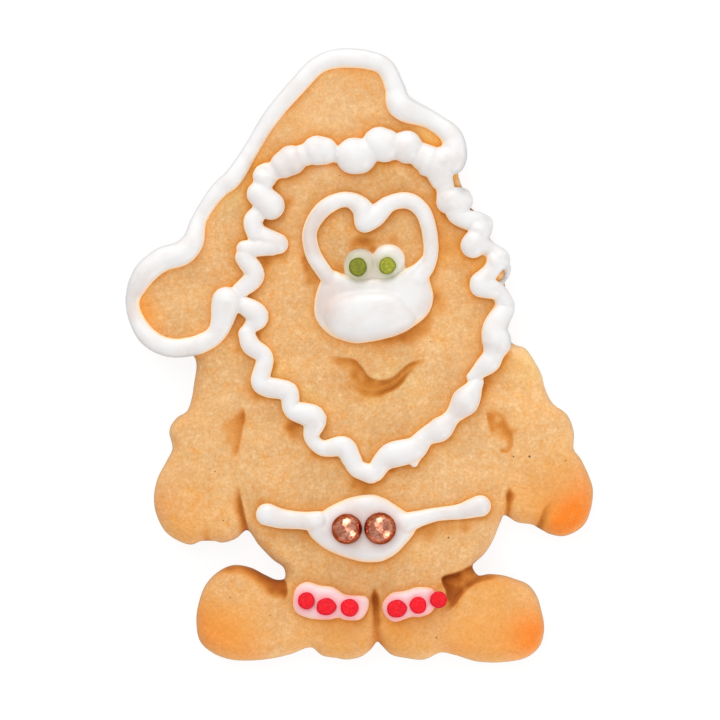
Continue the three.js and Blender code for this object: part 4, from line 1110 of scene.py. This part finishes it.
def ice(piece, *nodes, creamy=1.0):
    """Gives an icing piece its masks and finish, in place of its CAD nodes.

    Its foot is creamy, its cream partly painted warm light from the crust, as much as creamy says:
    that is what lies low over the crust, or slopes and lies fairly low. It reaches higher beside the
    hat's edge. Over the crust's own edge the outer sides carry painted shade instead.
    """
    points = point_values(piece.data, "co") / MM - SHIFT
    above = points[:, 2] - crust_under(points)
    sloping = 1 - ease((point_values(piece.data, "normal")[:, 2] - STEEP) / STEEP_FADE)
    low = 1 - ease((above - LOW) / LOW_FADE)
    from_edge, side, _ = nearest_on(COARSE_LINE, points[:, :2], closed=True)
    outer = 1 - ease(np.where(side > 0, from_edge, 0) / OUTER_REACH)
    from_hat = nearest_on(smooth_line(HAT_EDGE, STROKE_SPACING), points[:, :2])[0]
    reach = FOOT_AT_HAT + (FOOT_REACH - FOOT_AT_HAT) * ease((from_hat - HAT_NEAR) / HAT_FADE)
    foot = np.maximum(1 - ease((above - FOOT) / reach), sloping * low) * (1 - outer)
    # the creamy foot: its cream is partly painted warm light from the crust
    paint_mask(piece, "foot", creamy * foot)
    # painted shade on the outer sides, left off where they catch the light
    paint_mask(piece, "outer", sloping * outer * (1 - np.clip(patches(points, LIT), 0, 1)))
    # painted shade on the eye whites
    paint_mask(piece, "eye_shade", np.clip(patches(points, EYE_SHADE), 0, 1))
    paint_mask(piece, "thin", np.clip(patches(points, GREYER_PINKER), 0, 1))
    # red and green confetti bleed dye; round the pearls the halo is painted shade and copper reflection
    for name, (decorations, strength, fade) in BLEED_AND_HALO.items():
        paint_mask(piece, name, strength * round_decorations(points, decorations, fade))
    settle(piece, "icing", icing_finish(), *nodes)


# ------------------------------------------------------------------ decorations

# a disc from the middle of its face outwards and down: share of its radius and of its height
DISC_OUT = np.array([0.05, 0.25, 0.5, 0.72, 0.86, 0.94, 0.985, 1.0, 1.0, 0.99, 0.96])
DISC_DOWN = np.array([0, 0, 0.01, 0.03, 0.07, 0.13, 0.24, 0.36, 0.8, 0.95, 1.0])


def pearl(node, seed, flats=90, disorder=0.09, depths=(0.982, 0.995), rows=72, columns=120, pole=0.02):
    """A sugar pearl: a ball with many small flats, as thin leaf gives it.

    Its radius is the least of 1 and h / (n . u) over the flats, whose directions u are spread
    evenly over the ball and whose distances h lie just under 1.
    """
    low, high = node_box(node)
    middle = (low + high) / 2
    radius = (high[1] - low[1]) / 2 * scene_settings().pearls.plump
    middle[2] = high[2] - radius
    random = np.random.default_rng(seed)
    order = np.arange(flats) + 0.5
    up = 1 - 2 * order / flats
    around = math.pi * (1 + math.sqrt(5)) * order
    facing = np.stack([np.sqrt(1 - up**2) * np.cos(around), np.sqrt(1 - up**2) * np.sin(around), up], 1)
    facing += random.normal(0, disorder, facing.shape)
    facing /= np.linalg.norm(facing, axis=1, keepdims=True)
    depth = random.uniform(*depths, flats)
    lean = np.linspace(pole, math.pi - pole, rows)
    turn = np.linspace(0, math.tau, columns, endpoint=False)
    normal = np.stack([np.outer(np.sin(lean), np.cos(turn)), np.outer(np.sin(lean), np.sin(turn)),
                       np.outer(np.cos(lean), np.ones(columns))], 2).reshape(-1, 3)
    reach = np.minimum((depth / np.maximum(normal @ facing.T, 1e-3)).min(1), 1)
    return make_object(f"copper_{node}", middle + radius * reach[:, None] * normal,
                       [face[::-1] for face in tube_faces(rows, columns)])


def confetti(node, name, seed, proud=0.12, thicker=0.1, columns=56, rim_from=0.72, rim_share=0.75):
    """A pressed sugar disc: rings of a flat face with a rolled rim, not quite round.

    At angle a its outline is 1 plus small cosines of 2, 3 and 5 times a. It stands proud of the
    frame's disc, is thicker than it, and darkens towards its rim.
    """
    low, high = node_box(node)
    middle, radius = node_disc(node)
    random = np.random.default_rng(seed)
    turn = np.linspace(0, math.tau, columns, endpoint=False)
    wobble = 1 + sum(random.uniform(0.006, 0.022) * np.cos(k * turn + random.uniform(0, math.tau))
                     for k in (2, 3, 5))
    height = high[2] + proud - (high[2] - low[2] + thicker) * DISC_DOWN
    outline = wobble[:, None] * np.stack([np.cos(turn), np.sin(turn)], 1) * OVAL.get(node, (1, 1))
    places = middle + radius * DISC_OUT[:, None, None] * outline
    rings = np.concatenate([places, np.broadcast_to(height[:, None, None], (*places.shape[:2], 1))], 2)
    faces = [face[::-1] for face in tube_faces(*places.shape[:2])]
    piece = make_object(name, rings.reshape(-1, 3), faces)
    rim = rim_share * ease((DISC_OUT - rim_from) / (1 - rim_from))
    paint_mask(piece, "rim", np.repeat(rim, columns))
    paint_mask(piece, "tone", np.full(len(rim) * columns, TONE.get(node, 1.0)))
    return piece


# ------------------------------------------------------------------ floor, lights and camera

VIEW_WIDTH = 144.0  # what the camera sees across, at the crust's top
VIEW_MIDDLE = -1.0
LENS, SENSOR = 900, 36
FLOOR_HALF = 1.5  # in metres, as are the lengths that follow here
FLOOR_GAP = 0.00005  # between the floor and the crust
# soft lamps, a metre away: the way to them along X and Y, their angle above the floor in degrees,
# their width, and their share of the key lamp's power
LAMPS = [("key", (-0.55, 0.83), 50, (0.7,), 1.0), ("top_strip", (-0.05, 1.0), 20, (0.5,), 0.9),
         ("right_fill", (0.7, -0.71), 24, (0.4,), 0.7)]
# cards that are only seen in what shines: place, width and length, and power
CARDS = [("top_card", (0, 0.92, 0.42), (0.85, 0.7), 6.0),
         ("side_card", (0.64, -0.64, 0.42), (0.72, 0.72), 4.6),
         ("overhead_card", (-0.04, 0.05, 1.0), (0.5, 1.2), 2.4)]


def hang(name, place, size, power):
    """A light turned to the biscuit: a disc of one width, or a rectangle of two."""
    light = bpy.data.lights.new(name, "AREA")
    light.shape = "DISK" if len(size) == 1 else "RECTANGLE"
    light.size = size[0]
    if len(size) == 2:
        light.size_y = size[1]
    light.energy = power
    lamp = into_scene(name, light)
    lamp.location = place
    lamp.rotation_euler = (-lamp.location).to_track_quat("-Z", "Y").to_euler()
    return lamp


def lay_floor():
    """A floor that lets some even light through, so that it stays white beside the biscuit."""
    stage = scene_settings().stage
    mesh = bpy.data.meshes.new("floor")
    mesh.from_pydata([(-FLOOR_HALF, -FLOOR_HALF, 0), (FLOOR_HALF, -FLOOR_HALF, 0),
                      (FLOOR_HALF, FLOOR_HALF, 0), (-FLOOR_HALF, FLOOR_HALF, 0)], [], [(0, 1, 2, 3)])
    floor = into_scene("floor", mesh)
    floor.location.z = -FLOOR_GAP
    material, _, _ = finish_of("floor", {
        "Base Color": opaque(stage.floor), "Roughness": 0.9, "Specular IOR Level": 0.0,
        "Emission Color": opaque((1, 1, 1)), "Emission Strength": stage.floor_light})
    mesh.materials.append(material)


def light_world(scene):
    """Even white light from all round."""
    world = bpy.data.worlds.new("studio")
    world.use_nodes = True
    background = world.node_tree.nodes["Background"]
    background.inputs["Color"].default_value = opaque((1, 1, 1))
    background.inputs["Strength"].default_value = scene_settings().stage.sky
    scene.world = world


def aim_camera():
    """A camera far above the middle of the biscuit, looking straight down."""
    lens = bpy.data.cameras.new("camera")
    lens.lens = LENS
    lens.sensor_width = SENSOR
    camera = into_scene("camera", lens)
    height = CRUST_HEIGHT + VIEW_WIDTH * LENS / SENSOR
    camera.location = (SHIFT + [0, VIEW_MIDDLE, height]) * MM
    return camera


# ------------------------------------------------------------------ settings

def length(name, description, millimetres):
    return bpy.props.FloatProperty(name=name, description=description, default=millimetres * MM,
                                   min=0, precision=5, unit="LENGTH")


def share(name, description, default):
    return bpy.props.FloatProperty(name=name, description=description, default=default, min=0,
                                   soft_max=1, subtype="FACTOR")


def tint(name, description, colour):
    return bpy.props.FloatVectorProperty(name=name, description=description, default=colour, size=3,
                                         min=0, max=1, subtype="COLOR")


class CrustSettings(bpy.types.PropertyGroup):
    """Sizes and colours of the baked crust."""

    rounding: length("Rounding", "How far the upper edge is rounded off", 2.7)
    grain: length("Grain", "Depth of the sandy grain", 0.16)
    unevenness: share("Unevenness", "Strength of the swells and lumps", 1.0)
    rim: share("Browned rim", "How much the edge is browned", 0.1)
    tan: tint("Tan", "Paler parts of the crust", (0.675, 0.385, 0.175))
    gold: tint("Gold", "Most of the crust", (0.775, 0.435, 0.19))
    pale: tint("Pale", "Floury spots", (0.86, 0.58, 0.33))
    # also the colour of the painted warm shade round the icing and in the creases
    honey: tint("Honey", "Around the icing", (0.76, 0.30, 0.05))
    browned: tint("Browned", "Where the oven was hottest", (0.88, 0.215, 0.018))
    # the colour of the painted shade in the creases
    deep: tint("Deep", "In the creases", (0.40, 0.10, 0.010))
    speck: tint("Speck", "Burnt specks", (0.10, 0.03, 0.01))
    yellowing: bpy.props.FloatVectorProperty(
        name="Yellowing", description="What the yellower places do to red, green and blue",
        default=(0.98, 1.12, 0.92), size=3, min=0, subtype="XYZ")


class IcingSettings(bpy.types.PropertyGroup):
    """Sizes and colours of the icing."""

    fineness: length("Fineness", "Size of the cubes that the icing's skin is worked out on", 0.26)
    flow: bpy.props.IntProperty(name="Flow", description="Rounds of smoothing", default=4, min=0)
    swell: length("Swell", "What the icing gains after it is smoothed", 0.12)
    sit: share("Sit", "How far a bead's middle lies above the crust, in half widths", 0.25)
    rise: share("Rise", "Height of a bead against its width", 0.82)
    white: tint("White", "Most of the icing", (0.745, 0.735, 0.73))
    # the colour of the greyer, pinker places
    veil: tint("Veil", "Its thinner places", (0.66, 0.565, 0.52))
    # partly painted warm light from the crust
    cream: tint("Cream", "Along its foot", (0.96, 0.775, 0.55))
    # the colour of the painted shade on the outer sides
    shade: tint("Shade", "On its outer sides", (0.56, 0.56, 0.565))
    eye_shade: tint("Murk", "Where the green has run", (0.48, 0.44, 0.37))
    # the colour of the painted shade on the eye whites
    pink: tint("Pink", "Around the red confetti", (0.93, 0.30, 0.34))
    # the colour of the painted shade and copper reflection round the pearls
    copper_halo_colour: tint("Rust", "Around the pearls", (0.50, 0.24, 0.20))
    lime: tint("Lime", "Around the green confetti", (0.56, 0.56, 0.30))


class PearlSettings(bpy.types.PropertyGroup):
    """Colours of the sugar pearls."""

    plump: share("Plump", "Size against the frame's round", 1.05)
    dark: tint("Dark", "Darker flakes", (0.40, 0.135, 0.08))
    bright: tint("Bright", "Brighter flakes", (0.70, 0.31, 0.205))
    rim: tint("Rim", "What it reflects at a grazing angle", (0.48, 0.25, 0.19))


class ConfettiSettings(bpy.types.PropertyGroup):
    """Colours of the confetti."""

    green: tint("Green", "Green confetti", (0.37, 0.38, 0.033))
    green_rim: tint("Green rim", "Its darker rim", (0.15, 0.165, 0.015))
    red: tint("Red", "Red confetti", (0.865, 0.006, 0.012))
    red_rim: tint("Red rim", "Its darker rim", (0.55, 0.008, 0.03))


class StageSettings(bpy.types.PropertyGroup):
    """Light and floor."""

    floor: tint("Floor", "Colour of the floor", (0.17, 0.17, 0.17))
    floor_light: share("Floor light", "Light that the milky floor lets through", 0.86)
    sky: share("Sky", "Strength of the even light from all round", 0.82)
    key: bpy.props.FloatProperty(name="Key", description="Power of the main soft light",
                                 default=3.0, min=0, unit="POWER")


class BiscuitSettings(bpy.types.PropertyGroup):
    """All settings of the biscuit."""

    crust: bpy.props.PointerProperty(type=CrustSettings)
    icing: bpy.props.PointerProperty(type=IcingSettings)
    pearls: bpy.props.PointerProperty(type=PearlSettings)
    confetti: bpy.props.PointerProperty(type=ConfettiSettings)
    stage: bpy.props.PointerProperty(type=StageSettings)


# ------------------------------------------------------------------ operators

class BakeCrust(bpy.types.Operator):
    """Make the baked crust with its rounded edge and pressed creases"""

    bl_idname = "biscuit.bake_crust"
    bl_label = "Bake crust"

    def execute(self, context):
        settle(bake_crust(), "crust", crust_finish(), "biscuit")
        return {"FINISHED"}


class PipeHatAndBeard(bpy.types.Operator):
    """Pipe the hat's edge, its brim and the wavy beard as one run of icing"""

    bl_idname = "biscuit.pipe_hat_and_beard"
    bl_label = "Pipe hat and beard"

    def execute(self, context):
        piece = fuse("hat_and_beard_icing", [bead(knots) for knots in (HAT_EDGE, *BRIM, *BEARD)])
        ice(piece, "hat_edge_icing", "brim_icing", "beard_icing")
        return {"FINISHED"}


class PipeFace(bpy.types.Operator):
    """Pipe the whites of the eyes, the ring round them and the moustache"""

    bl_idname = "biscuit.pipe_face"
    bl_label = "Pipe face"

    def execute(self, context):
        shapes = [bead(knots) for knots in FACE_RING]
        shapes.append(mound(MOUSTACHE_PAD, height=2.2, flatness=4.5, middle=(2.8, 10)))
        shapes.append(mound(MOUSTACHE_DROP, height=4.4, flatness=3.4, middle=(2, 8.2), lean=(0, 0.05)))
        ring = fuse("moustache_and_ring_icing", shapes, melt=2)
        ice(ring, "moustache_icing", "face_ring_icing")
        knots = 12
        turn = np.linspace(0, math.tau, knots, endpoint=False)
        circle = np.stack([np.cos(turn), np.sin(turn)], 1)
        drops = [mound((x, y) + radius * circle, height=2.0, flatness=3.2)
                 for x, y, radius in EYE_WHITES]
        drops.append(mound(EYE_POOL, height=1.55, flatness=4.0))
        ice(fuse("eye_whites_icing", drops), "eye_white_icing", creamy=0.55)
        return {"FINISHED"}


class PipeBelt(bpy.types.Operator):
    """Pipe the belt with its round buckle"""

    bl_idname = "biscuit.pipe_belt"
    bl_label = "Pipe belt"

    def execute(self, context):
        shapes = [bead(knots) for knots in BELT_ENDS]
        shapes.append(mound(BUCKLE, height=2.4, flatness=4.5))
        ice(fuse("belt_and_buckle_icing", shapes), "belt_icing")
        return {"FINISHED"}


class PipeCuffs(bpy.types.Operator):
    """Pipe the two boot cuffs"""

    bl_idname = "biscuit.pipe_cuffs"
    bl_label = "Pipe cuffs"

    def execute(self, context):
        for side, outline in (("left", CUFF_LEFT), ("right", CUFF_RIGHT)):
            piece = fuse(f"boot_cuff_{side}", [mound(outline, height=2.2, flatness=4.5)])
            ice(piece, f"cuff_{side}_icing")
        return {"FINISHED"}


class SetPearls(bpy.types.Operator):
    """Set the two copper sugar pearls into the buckle"""

    bl_idname = "biscuit.set_pearls"
    bl_label = "Set pearls"

    def execute(self, context):
        material = copper_finish()
        for seed, node in enumerate(PEARLS, 3):
            settle(pearl(node, seed), "copper", material, node)
        return {"FINISHED"}


class SetConfetti(bpy.types.Operator):
    """Press the green confetti into the eyes and the red confetti into the cuffs"""

    bl_idname = "biscuit.set_confetti"
    bl_label = "Set confetti"

    def execute(self, context):
        colours = scene_settings().confetti
        for slot, nodes, colour, rim in (
                ("green_confetti", EYE_DOTS, colours.green, colours.green_rim),
                ("red_confetti", CUFF_DOTS, colours.red, colours.red_rim)):
            material = confetti_finish(slot, colour, rim)
            for seed, node in enumerate(nodes, 20):
                settle(confetti(node, f"sugar_{node}", seed), slot, material, node)
        return {"FINISHED"}


class SetStage(bpy.types.Operator):
    """Lay the floor, hang the lights and aim the camera straight down"""

    bl_idname = "biscuit.set_stage"
    bl_label = "Set stage"

    def execute(self, context):
        scene = context.scene
        lay_floor()
        light_world(scene)
        power = scene_settings().stage.key
        for name, toward, height, size, share_of_key in LAMPS:
            up = math.radians(height)
            out = math.cos(up) / math.hypot(*toward)
            hang(name, (toward[0] * out, toward[1] * out, math.sin(up)), size, share_of_key * power)
        for name, place, size, watts in CARDS:
            card = hang(name, place, size, watts)
            card.visible_diffuse = False
            card.visible_camera = False
        scene.camera = aim_camera()
        scene.view_settings.view_transform = "Standard"
        return {"FINISHED"}


STEPS = (BakeCrust, PipeHatAndBeard, PipeFace, PipeBelt, PipeCuffs, SetPearls, SetConfetti, SetStage)
GROUPS = (CrustSettings, IcingSettings, PearlSettings, ConfettiSettings, StageSettings)


class BiscuitPanel(bpy.types.Panel):
    """The biscuit's steps and settings in the 3D view's sidebar"""

    bl_idname = "VIEW3D_PT_father_christmas_biscuit"
    bl_label = "Father Christmas biscuit"
    bl_space_type = "VIEW_3D"
    bl_region_type = "UI"
    bl_category = "Biscuit"

    def draw(self, context):
        settings = context.scene.father_christmas
        for step in STEPS:
            self.layout.operator(step.bl_idname)
        for part in BiscuitSettings.__annotations__:
            box = self.layout.box()
            box.label(text=part.capitalize())
            group = getattr(settings, part)
            for name in group.__annotations__:
                box.prop(group, name)


def register():
    for kind in (*GROUPS, BiscuitSettings, *STEPS, BiscuitPanel):
        bpy.utils.register_class(kind)
    bpy.types.Scene.father_christmas = bpy.props.PointerProperty(type=BiscuitSettings)


def unregister():
    del bpy.types.Scene.father_christmas
    for kind in reversed((*GROUPS, BiscuitSettings, *STEPS, BiscuitPanel)):
        bpy.utils.unregister_class(kind)


def main():
    register()
    biscuit = bpy.ops.biscuit
    biscuit.bake_crust()
    biscuit.pipe_hat_and_beard()
    biscuit.pipe_face()
    biscuit.pipe_belt()
    biscuit.pipe_cuffs()
    biscuit.set_pearls()
    biscuit.set_confetti()
    biscuit.set_stage()


if __name__ == "__main__":
    main()
